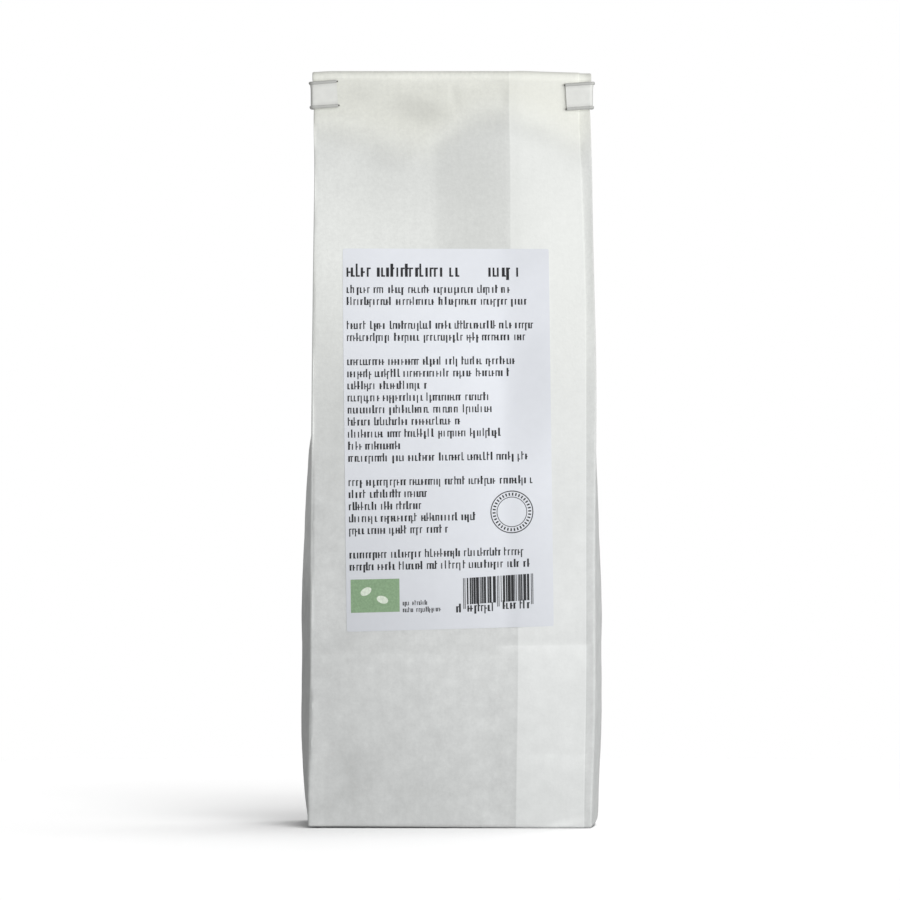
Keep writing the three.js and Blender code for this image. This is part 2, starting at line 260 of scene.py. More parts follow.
def shade(piece: Object, degrees: float) -> None:
    """Shades a mesh smooth, apart from edges sharper than this angle."""
    select_only(piece)
    bpy.ops.object.shade_smooth_by_angle(angle=math.radians(degrees))


def dress(piece: Object, *materials: Material) -> None:
    """Gives a piece these materials in place of any that it has."""
    piece.data.materials.clear()
    for material in materials:
        piece.data.materials.append(material)


def report(piece: Object) -> None:
    """Logs a finished piece with its triangles."""
    piece.data.calc_loop_triangles()
    LOG.info("%s: %d triangles", piece.name, len(piece.data.loop_triangles))


def add_node(
    owner: Material | World,
    kind: str,
    inputs: Inputs | None = None,
    **settings: object,
) -> Node:
    """Adds a shader node with its settings and links.

    Args:
        owner: what the node belongs to.
        kind: the node's type.
        inputs: for each socket a value, the output that is linked to it, or a node for its first output.
        settings: the node's own values, by property name.

    Returns:
        The node.
    """
    tree = owner.node_tree
    node = tree.nodes.new(kind)
    for key, value in settings.items():
        setattr(node, key, value)
    for key, value in (inputs or {}).items():
        if isinstance(value, Node):
            value = value.outputs[0]
        if isinstance(value, NodeSocket):
            tree.links.new(value, node.inputs[key])
        else:
            node.inputs[key].default_value = value
    return node


# ---------------------------------------------------------------- form of the filled bag


@dataclass(frozen=True)
class Swelling:
    """How far the beans push a wall out, and over which heights."""

    swell: float
    rise: float  # height scale that it grows over from the floor
    full_z: float  # it fades from here
    end_z: float

    def at(self, z: Array) -> Array:
        """How far the middle of the wall stands out at height z."""
        return self.swell * (1 - np.exp(-z / self.rise)) * (1 - smooth(z, self.full_z, self.end_z))


@dataclass(frozen=True)
class BagForm:
    """How the filled and closed bag stands: the driving sizes and formulas that its solid has too."""

    foot_width: float = 101.4
    neck_width: float = 99.4
    lip_width: float = 100.6
    gusset_width: float = 64.0
    height: float = CAD_BOX[1].z / MM
    flap_length: float = 21.0
    wall: float = 0.35
    layer_gap: float = 0.3
    shoulder_z: float = 132.0
    closed_z: float = 249.0
    closing_skew: float = 1.55
    left: Swelling = Swelling(4.3, 14.0, 70.0, 190.0)
    right: Swelling = Swelling(3.2, 1.2, 70.0, 160.0)
    face: Swelling = Swelling(2.6, 14.0, 70.0, 180.0)
    foot_shift: float = -0.7
    foot_shift_end: float = 60.0
    lip_shift: float = -0.5
    lip_shift_lead: float = 20.0
    hip_spread: float = 1.0  # how much further out the right-hand crease stands over the beans
    hip_z: float = 158.0
    hip_reach: float = 45.0
    foot_pinch: float = 0.7  # how much further in it stands at the floor
    foot_pinch_reach: float = 20.0
    tie_z: float = 261.2
    tie_pinch: float = 1.3
    pinch_reach: float = 7.0
    tuck_least: float = 1e-6  # radians
    tuck_steps: int = 40  # halvings in the search for the side's angle

    @property
    def bend(self) -> float:
        """Radius of the sheet's middle where it is folded flat."""
        return (self.wall + self.layer_gap) / 2

    @property
    def flat_half_depth(self) -> float:
        """Half depth of the flattened top, to the middle of the sheet."""
        return 3 * self.bend

    @property
    def flat_outside(self) -> float:
        """Half depth of the flattened top, outside."""
        return self.flat_half_depth + self.wall / 2

    @property
    def open_half_depth(self) -> float:
        """Half depth of the filled part, to the middle of the sheet."""
        return (self.gusset_width - self.wall) / 2

    @property
    def fold_radius(self) -> float:
        """Radius of the turned-over end's fold, to the middle of the flattened top."""
        return self.flat_outside + self.layer_gap / 2

    @property
    def fold_z(self) -> float:
        """Height at which the fold starts."""
        return self.height - self.fold_radius - self.flat_outside

    @property
    def crease(self) -> float:
        """Length of sheet that a full fold takes up."""
        return math.pi * self.bend

    @property
    def gusset_flat(self) -> float:
        """Flat half of a side panel, between its creases."""
        return self.open_half_depth - self.crease * (2 / math.pi + 1 / 2)

    @property
    def gusset_half(self) -> float:
        """Length of sheet from a face's crease to the middle of the side panel."""
        return 1.5 * self.crease + self.gusset_flat

    def right_spread(self, z: Array) -> Array:
        """How much further out the right-hand creases stand at height z than the left-hand ones."""
        hip = self.hip_spread * bell(z - self.hip_z, self.hip_reach)
        return hip - self.foot_pinch * bell(z, self.foot_pinch_reach)

    def face_width(self, z: Array) -> Array:
        """Width of the faces at height z, outside."""
        neck = blend(self.foot_width, self.neck_width, smooth(z, 0, self.closed_z))
        width = blend(neck, self.lip_width, smooth(z, self.closed_z, self.fold_z))
        return width - self.tie_pinch * bell(z - self.tie_z, self.pinch_reach) + self.right_spread(z)

    def sway(self, z: Array) -> Array:
        """How far to the side the bag's middle stands at height z."""
        foot = self.foot_shift * (1 - smooth(z, 0, self.foot_shift_end))
        lip = self.lip_shift * smooth(z, self.closed_z - self.lip_shift_lead, self.tie_z)
        return foot + lip + self.right_spread(z) / 2

    def half_depth(self, z: Array) -> Array:
        """Half the bag's depth at height z, to the middle of the sheet."""
        climbed = np.clip((z - self.shoulder_z) / (self.closed_z - self.shoulder_z), 0, 1)
        closed = smooth(climbed**self.closing_skew, 0, 1)
        return blend(self.open_half_depth, self.flat_half_depth, closed)

    def face_bulge(self, x: Array, z: Array) -> Array:
        """How far the beans push a face out, x from the face's middle."""
        return self.face.at(z) * np.cos(np.pi * x / self.face_width(z))

    def side_bulge(self, side: int, across: Array, z: Array) -> Array:
        """How far the beans push a side out, across from 0 at one crease to 1 at the other."""
        wall = self.left if side < 0 else self.right
        return wall.at(z) * np.sin(np.pi * across)

    def tuck(self, z: Array) -> Array:
        """Angle by which a side's halves are tucked in at height z: 0 open, a quarter turn flat."""
        depth = self.half_depth(z)
        low, high = np.full_like(z, self.tuck_least), np.full_like(z, math.pi / 2)
        for _ in range(self.tuck_steps):
            middle = (low + high) / 2
            turn = math.pi / 2 + middle
            reach = self.crease / turn * (1 - np.cos(turn)) + self.gusset_flat * np.sin(turn)
            reach += self.crease / 2 / middle * np.sin(middle)
            low = np.where(reach > depth, middle, low)
            high = np.where(reach > depth, high, middle)
        return low

    def half_flat(self, z: Array) -> Array:
        """Half width of the flat part of a face at height z."""
        turn = math.pi / 2 + self.tuck(z)
        return self.face_width(z) / 2 - self.wall / 2 - self.crease / turn

    def side_panel(
        self, side: int, walked: Array, z: Array
    ) -> tuple[Array, Array, Array, Array]:
        """Walks a side panel's section, from the labelled face's crease to the far one.

        Args:
            side: 1 on the right and -1 on the left.
            walked: length of sheet from the labelled face's crease.
            z: heights, which broadcast with walked.

        Returns:
            x and y of the sheet's middle, and the outward normal's x and y.
        """
        far = walked > self.gusset_half
        near = np.where(far, 2 * self.gusset_half - walked, walked)
        tuck = self.tuck(z)
        turn = math.pi / 2 + tuck
        radius = self.crease / turn
        bent = turn * np.clip(near / self.crease, 0, 1)
        flat = np.clip(near - self.crease, 0, self.gusset_flat)
        folded = np.clip((near - self.crease - self.gusset_flat) / (self.crease / 2), 0, 1)
        heading = np.where(near < self.crease, bent, turn - tuck * folded)
        fold_radius = self.crease / 2 / tuck
        x = self.half_flat(z) + radius * np.sin(bent) + flat * np.cos(turn)
        x = x + fold_radius * (np.sin(turn) - np.sin(turn - tuck * folded))
        y = radius * (1 - np.cos(bent)) + flat * np.sin(turn) - self.half_depth(z)
        y = y + fold_radius * (np.cos(turn - tuck * folded) - np.cos(turn))
        across = walked / self.gusset_half / 2
        x = x + self.side_bulge(side, across, z)
        sign = np.where(far, -1.0, 1.0)
        return side * x + self.sway(z), sign * y, side * np.sin(heading), -sign * np.cos(heading)


# ---------------------------------------------------------------- paper bag


@dataclass(frozen=True)
class Spot:
    """A soft-edged spot of a face: a hollow in the sheet, or a spot painted lighter or darker, partly for
    layers behind it and partly as painted light and shade.
    """

    x: float
    z: float
    width: float
    height: float
    amount: float  # a hollow's depth, or how much lighter a painted spot makes the sheet; the other way where negative
    lean: float = 0.0

    def at(self, x: Array, z: Array, fall: float) -> Array:
        """How much the spot adds here; a higher fall gives it a flatter middle."""
        across = (x - self.x) - self.lean * (z - self.z)
        far = (across / self.width) ** 2 + ((z - self.z) / self.height) ** 2
        return self.amount * np.exp(-(far**fall))


def spots(*rows: tuple[float, ...]) -> tuple[Spot, ...]:
    """Makes a spot of each row of sizes."""
    return tuple(Spot(*sizes) for sizes in rows)


@dataclass(frozen=True)
class Crease:
    """A line across a face where the sheet was once folded: a shallow valley with a longer lower flank."""

    z: float
    rise: float
    left: float
    right: float
    depth: float
    above: float
    below: float
    fade: float = 5.0  # it fades out over this much, on each side of its ends
    edge: float = 0.5  # the painted light below the crease reaches this close above it
    full_depth: float = 0.3  # a crease this deep gets its painted light and shade at full strength
    band: Triple = (0.45, 2.5, 1.8)  # painted shade band over it: strength, height, reach

    def away(self, x: Array, z: Array) -> Array:
        """Height over the crease."""
        return z - self.z - self.rise * x

    def along(self, x: Array) -> Array:
        """Share of the crease's strength at x, which fades out at its ends."""
        started = smooth(x, self.left - self.fade, self.left + self.fade)
        return started * (1 - smooth(x, self.right - self.fade, self.right + self.fade))

    def push(self, x: Array, z: Array) -> Array:
        """How far the sheet stands out here."""
        away = self.away(x, z)
        flank = np.where(away > 0, away / self.above, -away / self.below)
        return -self.depth * np.exp(-flank) * self.along(x)

    def backing(self, x: Array, z: Array) -> Array:
        """Painted light and shade along the crease: lighter just below it and a darker band above it, as
        light falls on its flanks.
        """
        away = self.away(x, z)
        strength, height, reach = self.band
        light = np.exp(-np.where(away > 0, away / self.edge, -away / self.below))
        dark = strength * np.where(away > 0, bell(away - height, reach), 0.0)
        return (light - dark) * self.along(x) * self.depth / self.full_depth


class Panel(Enum):
    """The panels that the sheet runs through, in the order of its run."""

    INNER_LAP = "inner lap"
    RIGHT = "right side"
    FAR = "far face"
    LEFT = "left side"
    LABELLED = "labelled face"


@dataclass
class PaperBag:
    """One sheet of bleached paper, wrapped round, lapped, folded at the sides and turned over on top."""

    form: BagForm
    ply: float = 0.18
    lap_outer_x: float = 47.4  # the sheet's outer cut edge, low down
    lap_outer_drift: float = -1.8  # how far it has wandered at the top
    lap_outer_rise: Pair = (175.0, 255.0)  # it wanders between these heights
    lap_inner_x: float = 23.1  # the edge underneath it
    lap_inner_drift: float = -2.7
    lap_inner_rise: Pair = (66.0, 206.0)
    lap_lift_run: float = 5.0  # the outer layer climbs over the inner edge in this length
    lap_air: float = 0.05
    face_columns: int = 70
    far_columns: int = 36
    lap_columns: int = 14
    side_folds: tuple[Pair, ...] = ((0.16, 1.1), (0.16, 1.2), (0.14, 1.4))  # depth, reach
    middle_fold_z: Pair = (26.0, 40.0)  # the fold in a side panel's middle shows from here up
    slant_fold_z: Pair = (27.0, 34.0)  # the slanted folds of the bottom end here
    side_crease_z: float = 64.4  # level with the labelled face's crease
    side_columns: tuple[int, int, int] = (5, 14, 4)  # outer fold, flat half, half of the middle fold
    wall_rows: int = 168
    row_crowds: tuple[Triple, ...] = (
        (64.0, 2.6, 5.0), (25.0, 3.0, 2.0), (256.0, 12.0, 1.6), (1.25, 4.0, 3.0),
    )  # rows lie closer at these heights: height, half width and how much closer
    fold_rows: int = 10
    flap_rows: int = 12
    foot_round: float = 0.7
    foot_angles: tuple[float, ...] = (72.0, 48.0, 24.0)  # rows round the foot, in degrees
    foot_lift: float = 0.55  # the sheet's turned-in end lies over the folded layers of the base
    foot_turn_in: float = 9.0
    foot_settle: float = 0.45  # its right end lies closer to the table by this much
    foot_settle_x: Pair = (-45.0, 44.0)
    foot_settle_top: float = 7.0
    undulation: float = 0.11
    wave_lengths: tuple[float, ...] = (58.0, 41.0, 29.0, 21.0, 15.0, 11.0)
    wave_foot_z: Pair = (2.0, 24.0)  # the waves grow between these heights
    wave_top_z: Pair = (225.0, 262.0)  # and lose this share again between these
    wave_top_loss: float = 0.7
    other_phase: float = 2.1  # the waves of the other panels differ from the labelled face's by this
    side_phase: float = 90.0
    side_sink: float = 0.08
    side_fade: float = 12.0  # a side panel's waves fade towards its edges over this much
    side_calm_z: Pair = (190.0, 235.0)  # and between these heights
    slack: float = 0.22  # a side panel sinks in no further than this, as beans hold it
    lip_sag: Pair = (0.3, 0.85)  # how much lower the top fold's left and right ends hang
    lip_sag_x: Pair = (-44.0, 14.0)  # each hangs from here on
    lip_sag_z: Pair = (235.0, 262.0)
    gusset_x: Pair = (-6.3, 19.0)  # the tucked sides reach in to here behind the upper face
    gusset_low_z: Pair = (146.0, 186.0)
    gusset_blur: float = 2.0
    gusset_far_x: Pair = (16.0, 20.0)
    gusset_gain: float = 0.85
    gusset_far_gain: float = 0.9
    beans_z: Pair = (100.0, 190.0)  # beans press on the sheet below, and nowhere above
    left_painted_light: float = 3.2  # painted light: the left side panel is painted lighter above the beans, for light that comes through the sheet there
    left_light_z: Pair = (78.0, 100.0)
    flap_edge: tuple[tuple[float, ...], ...] = (
        (-50.0, -33.0, -20.0, -10.0, 1.5, 8.0, 20.0, 33.0, 45.0, 50.0),
        (250.0, 247.5, 243.5, 242.5, 249.5, 254.0, 255.5, 250.5, 244.5, 243.5),
    )  # x, and z for each, along the flap's lower end, as far as it presses against the labelled face
    flap_blur: float = 4.2
    flap_hue_blur: float = 10.0
    flap_gain: float = 1.15
    lip_painted_light: float = 1.1  # painted light: how much lighter the top fold is painted, against the shade that its curve gets
    lip_run: float = 1.1
    base_inset: float = 4.0  # the layers of the base end this far inside the walls
    base_overlap: float = 9.0  # its two long flaps pass the middle by this much
    base_slant: float = 14.0  # their corners are folded in to this far
    base_sag: float = 0.04
    base_waves: float = 5.0
    base_phase: float = 30.0  # for each millimetre of a flap's level
    base_plan: Pair = (0.16, 0.05)  # metres from the flaps' place on the flat sheet to the bag's frame
    base_lifts: Pair = (0.24, 0.05)
    base_ply: float = 0.16
    end_slant: Pair = (26.0, 24.0)  # how far the short flaps reach in, and narrow
    end_lift: float = 0.43
    end_ply: float = 0.06
    seed: int = 7
    dents: tuple[Spot, ...] = spots(
        (-12.0, 255.5, 8.0, 4.0, 0.36, -0.6), (-21.0, 260.5, 6.0, 3.0, 0.20, -0.8),
        (9.0, 252.0, 8.0, 3.6, 0.26, 0.5), (1.6, 262.5, 1.6, 6.0, 0.16),
        (-2.4, 264.5, 4.0, 2.2, -0.20, 0.6), (14.0, 264.5, 4.0, 2.2, -0.16, 0.6),
        (-14.0, 264.6, 12.0, 1.2, 0.14), (1.4, 259.0, 0.9, 6.0, 0.12, -0.2),
        (19.0, 262.0, 1.6, 5.0, 0.14, 0.2), (-38.0, 253.0, 9.0, 3.0, -0.22, -0.5),
        (-42.0, 246.0, 12.0, 4.0, 0.40, -0.5), (-25.0, 239.0, 9.0, 5.0, 0.40, -0.5),
        (-12.0, 241.0, 4.0, 7.0, -0.30, 1.1), (33.0, 246.0, 14.0, 4.0, 0.42, -0.4),
        (26.0, 255.0, 10.0, 3.0, -0.20, -0.4), (-30.0, 216.0, 14.0, 12.0, -0.30),
        (33.0, 214.0, 12.0, 14.0, -0.30), (-42.0, 150.0, 6.0, 14.0, 0.16),
        (-37.0, 14.0, 7.0, 9.0, 0.22, 0.2),
    )
    creases: tuple[Crease, ...] = (
        Crease(64.4, 0.012, 17.0, 56.0, 0.30, 2.4, 4.5),
        Crease(61.4, -0.004, -50.0, 14.0, 0.08, 2.4, 4.0),
        Crease(25.6, 0.010, 24.0, 56.0, 0.12, 2.0, 3.2),
    )
    # Spots painted lighter or darker on the labelled face: partly where layers press behind the sheet,
    # partly painted light and shade, among them a painted glint low on the right where the base is folded
    layer_and_light_spots: tuple[Spot, ...] = spots(
        (-12.3, 256.0, 9.5, 5.2, -1.35, -0.7), (-33.0, 261.5, 7.0, 3.4, -0.55),
        (-12.0, 266.4, 11.0, 1.5, 0.75), (8.0, 265.6, 8.0, 1.8, 0.65),
        (-40.0, 251.8, 9.0, 2.0, 0.55, -2.2), (-43.0, 245.5, 9.0, 3.6, -0.35, -1.5),
        (-22.0, 247.5, 5.0, 3.0, 0.30, -0.6), (-26.0, 239.0, 6.5, 4.5, -0.65, -0.3),
        (-7.5, 245.0, 3.4, 4.4, 0.45, 2.0), (1.5, 262.0, 1.3, 5.0, -0.55, -0.2),
        (18.5, 262.5, 1.4, 4.0, -0.65, -0.2), (30.0, 263.0, 12.0, 6.0, -0.45),
        (47.5, 262.0, 4.0, 8.0, 1.10), (30.0, 247.0, 9.0, 5.0, -1.30, -1.2),
        (44.0, 240.0, 7.0, 5.0, -0.90), (-42.0, 210.0, 20.0, 25.0, 1.90),
        (-14.0, 210.0, 12.0, 25.0, 0.90), (3.0, 208.0, 15.0, 20.0, 0.70),
        (15.6, 218.0, 3.0, 30.0, 0.25), (38.0, 214.0, 22.0, 24.0, 1.00),
        (-8.0, 58.0, 26.0, 30.0, 0.70), (12.0, 44.0, 14.0, 30.0, 0.30),
        (17.0, 6.0, 8.0, 10.0, 0.75), (-46.0, 84.0, 8.0, 16.0, 0.75),
        (50.0, 80.0, 2.6, 30.0, -1.20), (38.0, 114.0, 14.0, 20.0, -0.55),
        (-33.5, 18.0, 8.0, 11.0, -0.70, 0.2), (-48.0, 32.0, 4.0, 22.0, 0.65),
        (32.0, 8.0, 18.0, 9.0, -0.60), (40.5, 1.8, 4.4, 2.2, 2.00, 2.4),
    )
    light_spot_fall: float = 1.3

    def __post_init__(self) -> None:
        """Draws the directions and phases of the sheet's slow waves."""
        draw = np.random.default_rng(self.seed)
        turns, phases = (draw.uniform(0, 2 * np.pi, len(self.wave_lengths)) for _ in range(2))
        self.waves = list(zip(self.wave_lengths, turns, phases))

    def outer_edge(self, z: Array) -> Array:
        """Where the sheet's outer cut edge is at height z, from the face's middle."""
        straight = self.lap_outer_x + self.lap_outer_drift * smooth(z, *self.lap_outer_rise)
        return straight - self.form.right_spread(z) / 2

    def inner_edge(self, z: Array) -> Array:
        """Where the edge under the lap is at height z, from the face's middle."""
        straight = self.lap_inner_x + self.lap_inner_drift * smooth(z, *self.lap_inner_rise)
        return straight - self.form.right_spread(z) / 2

    def wrinkle(self, x: Array, z: Array, face: bool = True) -> Array:
        """How far a panel stands out of its smooth form.

        Args:
            x: from the panel's middle.
            z: height.
            face: whether it is the labelled face, which has dents and creases of its own.

        Returns:
            Millimetres along the outward normal.
        """
        start = 0.0 if face else self.other_phase
        out = 0.0
        for length, turn, phase in self.waves:
            along = x * math.cos(turn + start) + z * math.sin(turn + start)
            waves = np.sin(2 * np.pi * along / length + phase + start)
            out = out + waves * length / self.wave_lengths[0]
        out = self.undulation * out * smooth(z, *self.wave_foot_z)
        out = out * (1 - self.wave_top_loss * smooth(z, *self.wave_top_z))
        if face:
            out = out - sum(dent.at(x, z, 1.0) for dent in self.dents)
            out = out + sum(crease.push(x, z) for crease in self.creases)
        return out

    def flap_behind(self, x: Array, z: Array, blur: float) -> Array:
        """Share of the turned-over flap behind the labelled face, from 0 to 1 over twice the blur."""
        return smooth(z - np.interp(x, *self.flap_edge), -blur, blur)

    def backing(self, x: Array, z: Array) -> Array:
        """How closely white layers lie behind the labelled face, which makes the thin paper lighter, with
        painted light and shade added: a lighter top fold, lighter and darker spots, and light and dark bands
        at the creases.

        Args:
            x: from the face's middle.
            z: height.

        Returns:
            0 with nothing behind it, about 1 with a layer that touches it.
        """
        left, right = self.gusset_x
        tucked = smooth(-x, -left - self.gusset_blur, -left + self.gusset_blur)
        tucked = tucked + smooth(x, right - self.gusset_blur, right + self.gusset_blur)
        out = self.gusset_gain * tucked * smooth(z, *self.gusset_low_z)
        out = out + self.flap_behind(x, z, self.flap_blur) * (self.flap_gain - out)
        # Painted light: the top fold is painted lighter
        out = out + self.lip_painted_light * smooth(z, self.form.fold_z - self.lip_run, self.form.fold_z)
        # Painted light and shade: the spots, and the creases' light and dark bands
        out = out + sum(spot.at(x, z, self.light_spot_fall) for spot in self.layer_and_light_spots)
        return out + sum(crease.backing(x, z) for crease in self.creases)

    def lap_lift(self, x: Array, z: Array) -> Array:
        """How much higher the outer layer lies where it covers the inner one."""
        climb = smooth((x - self.inner_edge(z)) / self.lap_lift_run, -0.2, 1.0)
        return (self.ply + self.lap_air) * climb

    def front(self, x: Array, z: Array) -> Array:
        """Gives y of the labelled face's outer surface at x and z, both in the bag's frame."""
        across = x - self.form.sway(z)
        level = -self.form.half_depth(z) - self.form.face_bulge(across, z) - self.form.wall / 2
        return level - self.wrinkle(across, z) - self.lap_lift(across, z)

    def side_wrinkle(self, across: Array, z: Array) -> Array:
        """How far a side panel stands out of its smooth form.

        Args:
            across: length of sheet from the panel's middle.
            z: height.

        Returns:
            Millimetres along the outward normal.
        """
        inside = self.form.gusset_half - np.abs(across)
        out = self.wrinkle(across + self.side_phase, z, face=False) - self.side_sink
        folds = (
            (across, smooth(z, *self.middle_fold_z)),
            (inside - z, 1 - smooth(z, *self.slant_fold_z)),
            (z - self.side_crease_z, 1.0),
        )
        for (away, strength), (depth, reach) in zip(folds, self.side_folds):
            out = out - depth * np.exp(-np.abs(away) / reach) * strength
        settle = smooth(inside, 0.0, self.side_fade) * (1 - smooth(z, *self.side_calm_z))
        return np.maximum(out, -self.slack) * settle

    def row_places(self) -> dict[str, Array]:
        """Works out where each row of the sheet runs, from under the base up and over to the mouth.

        Returns:
            For each row its height for the section, its place and lean in the fold, how far it is turned
            in under the base, and its length along the sheet.
        """
        form = self.form
        angle = np.radians(self.foot_angles)
        turned = np.array([self.foot_turn_in, self.foot_turn_in / 2, self.foot_round])
        under = np.concatenate([turned, self.foot_round * (1 - np.cos(angle))])
        low = self.foot_lift + self.foot_round * np.concatenate([0 * turned, 1 - np.sin(angle)])
        start = self.foot_lift + self.foot_round
        crowds = [(z - start, width, times) for z, width, times in self.row_crowds]
        wall = start + crowded(self.wall_rows, form.fold_z - start, crowds)
        turn = np.pi * np.arange(1, self.fold_rows + 1) / self.fold_rows
        radius = form.fold_radius
        top = form.fold_z + radius * np.sin(turn)
        flap = np.linspace(form.fold_z, form.height - form.flap_length, self.flap_rows + 1)[1:]
        sections = (  # height for the section, level, way back, lean and way in
            (0 * low, low, 0 * low, 0 * low, under),
            (wall, wall, 0 * wall, 0 * wall, 0 * wall),
            (0 * top + form.fold_z, top, radius * (1 - np.cos(turn)), turn, 0 * top),
            (np.maximum(flap, form.closed_z), flap, 0 * flap + 2 * radius, 0 * flap + np.pi, 0 * flap),
        )
        z, level, back, lean, inset = (np.concatenate(parts) for parts in zip(*sections))
        steps = np.sqrt(np.diff(level) ** 2 + np.diff(back) ** 2 + np.diff(inset) ** 2)
        length = np.concatenate([[0.0], np.cumsum(steps)])
        length += start - length[len(low)]
        return {"z": z, "level": level, "back": back, "lean": lean, "inset": inset, "length": length}

    def side_stations(self) -> Array:
        """Spaces the columns of a side panel by length of sheet, close together in its folds."""
        form = self.form
        half = np.zeros(1)
        for reach, count in zip((form.crease, form.gusset_flat, form.crease / 2), self.side_columns):
            half = np.concatenate([half, half[-1] + np.linspace(0, reach, count + 1)[1:]])
        return np.concatenate([half, 2 * form.gusset_half - half[-2::-1]])

    def face_run(self, x: Array, z: Array, sign: float) -> tuple[Array, ...]:
        """Places a run of columns on a face.

        Args:
            x: from the face's middle.
            z: heights.
            sign: -1 on the labelled face and 1 on the far one.

        Returns:
            x, y and the outward normal's x and y of the sheet's middle.
        """
        y = sign * (self.form.half_depth(z) + self.form.face_bulge(x, z))
        return x + self.form.sway(z), y, 0 * y, 0 * y + sign

    def detail(self, kind: Panel, across: Array, z: Array) -> dict[str, Array | float]:
        """Works out what a panel adds to its smooth form.

        Args:
            kind: the panel.
            across: from its middle.
            z: heights.

        Returns:
            How far the sheet stands out and is lifted by the lap, and how closely layers and the flap lie
            behind it, with painted light and shade added to the layers' tone.
        """
        values = {"lift": 0.0, "backing": 0.0, "flap": self.flap_behind(across, z, self.flap_hue_blur)}
        if kind in (Panel.INNER_LAP, Panel.LABELLED):
            values.update(out=self.wrinkle(across, z), backing=self.backing(across, z))
        elif kind is Panel.FAR:
            tucked = smooth(np.abs(across), *self.gusset_far_x) * smooth(z, *self.gusset_low_z)
            values.update(out=self.wrinkle(across, z, face=False), backing=self.gusset_far_gain * tucked)
        else:
            values["out"] = self.side_wrinkle(across, z)
        if kind is Panel.LABELLED:
            values["lift"] = self.lap_lift(across, z)
        # Painted light on the left side panel above the beans
        if kind is Panel.LEFT:
            values["backing"] = self.left_painted_light * smooth(z, *self.left_light_z)
        return values

    def panels(self, z: Array) -> dict[str, Array]:
        """Runs the sheet through all panels, before its top is turned over.

        Args:
            z: the rows' heights, as a column.

        Returns:
            The sheet's middle and normal, its way across the flat sheet, and its details.
        """
        form = self.form
        half = form.half_flat(z)
        flat = float(form.half_flat(np.array([form.shoulder_z]))[0])
        panel = 2 * form.gusset_half
        side = self.side_stations()
        ramp = (self.lap_inner_x - 0.8 + flat) / (self.lap_outer_x + flat)
        face_share = crowded(self.face_columns, 1.0, [(ramp, 0.03, 3.0), (1.0, 0.02, 2.0), (0.0, 0.03, 1.0)])
        lap_x = blend(self.inner_edge(z), half, crowded(self.lap_columns, 1.0, [(0.0, 0.1, 2.0)]))
        far_share = np.linspace(1.0, -1.0, self.far_columns + 1)
        far_x = half * far_share
        face_x = blend(-half, self.outer_edge(z), face_share)
        right, left = side[None, :], side[None, ::-1]
        runs = (  # panel, its sheet, place from its middle, and place on the flat sheet
            (Panel.INNER_LAP, self.face_run(lap_x, z, -1.0), lap_x, lap_x - 4 * flat - 2 * panel),
            (Panel.RIGHT, form.side_panel(1, right, z), right - panel / 2, right - 3 * flat - 2 * panel),
            (Panel.FAR, self.face_run(far_x, z, 1.0), far_x, -flat * (2 + far_share) - panel),
            (Panel.LEFT, form.side_panel(-1, left, z), left - panel / 2, -flat - left),
            (Panel.LABELLED, self.face_run(face_x, z, -1.0), face_x, face_x + form.right_spread(z) / 2),
        )
        built: dict[str, list[Array]] = {}
        for kind, (x, y, nx, ny), across, u in runs:
            wide = np.broadcast_to(across, x.shape)
            values = {"x": x, "y": y, "nx": nx, "ny": ny, "u": u, **self.detail(kind, wide, z)}
            keep = x.shape[1] - (kind is not Panel.LABELLED)  # its last column is the next panel's first
            for key, value in values.items():
                built.setdefault(key, []).append(np.broadcast_to(value, x.shape)[:, :keep])
        return {key: np.hstack(parts) for key, parts in built.items()}

    def sheet(self) -> dict[str, Array]:
        """Folds the whole sheet.

        Returns:
            Places in millimetres, the sheet's own plan, and how closely other layers and beans lie behind
            it, with painted light and shade added to the layers, each by row and column.
        """
        form = self.form
        rows = {key: value[:, None] for key, value in self.row_places().items()}
        whole = self.panels(rows["z"])
        lean, inset, level = rows["lean"], rows["inset"], rows["level"]
        out = form.wall / 2 + whole["out"] * (1 - smooth(lean, 0.0, 1.2)) + whole["lift"]
        x = (whole["x"] + whole["nx"] * out) * (1 - inset / (form.foot_width / 2))
        depth = (whole["y"] + whole["ny"] * out) * (1 - inset / (form.gusset_width / 2))
        foot = 1 - smooth(level, self.foot_lift, self.foot_settle_top)
        (left_sag, right_sag), (left_x, right_x) = self.lip_sag, self.lip_sag_x
        sag = left_sag * smooth(-whole["x"], -left_x, form.lip_width / 2)
        sag = sag + right_sag * smooth(whole["x"], right_x, form.lip_width / 2)
        up = level - depth * np.sin(lean) - self.foot_settle * smooth(whole["x"], *self.foot_settle_x) * foot
        up = up - sag * smooth(rows["z"], *self.lip_sag_z)
        beans = 1 - smooth(rows["z"], *self.beans_z)
        return {
            "places": np.stack([x, rows["back"] + depth * np.cos(lean), up], axis=-1),
            "plan": np.stack(np.broadcast_arrays(whole["u"], rows["length"]), axis=-1),
            "backing": whole["backing"],
            "beans": np.broadcast_to(beans, x.shape),
            "flap": whole["flap"],
        }

    def build(self) -> Object:
        """Folds the sheet, gives it its thickness and its base, and smooths it.

        Returns:
            The bag, one mesh.
        """
        sheet = self.sheet()
        rows, columns = sheet["beans"].shape
        at: dict[str, Array] = {}

        def fold(column: Array, row: Array) -> tuple[Array, ...]:
            """Looks up each vertex's place on the folded sheet."""
            at.update({key: value[row, column] for key, value in sheet.items()})
            return tuple(at["places"].T)

        bag = formed_grid("bag_paper", columns - 1, rows - 1, fold)
        put_plan(bag, at["plan"] * MM)
        for name in ("backing", "beans", "flap"):
            put_values(bag, name, at[name])
        apply_modifier(bag, "SOLIDIFY", thickness=self.ply * MM, offset=-1.0, use_rim=True)
        join(bag, *self.base_layers())
        shade(bag, 40)
        return bag

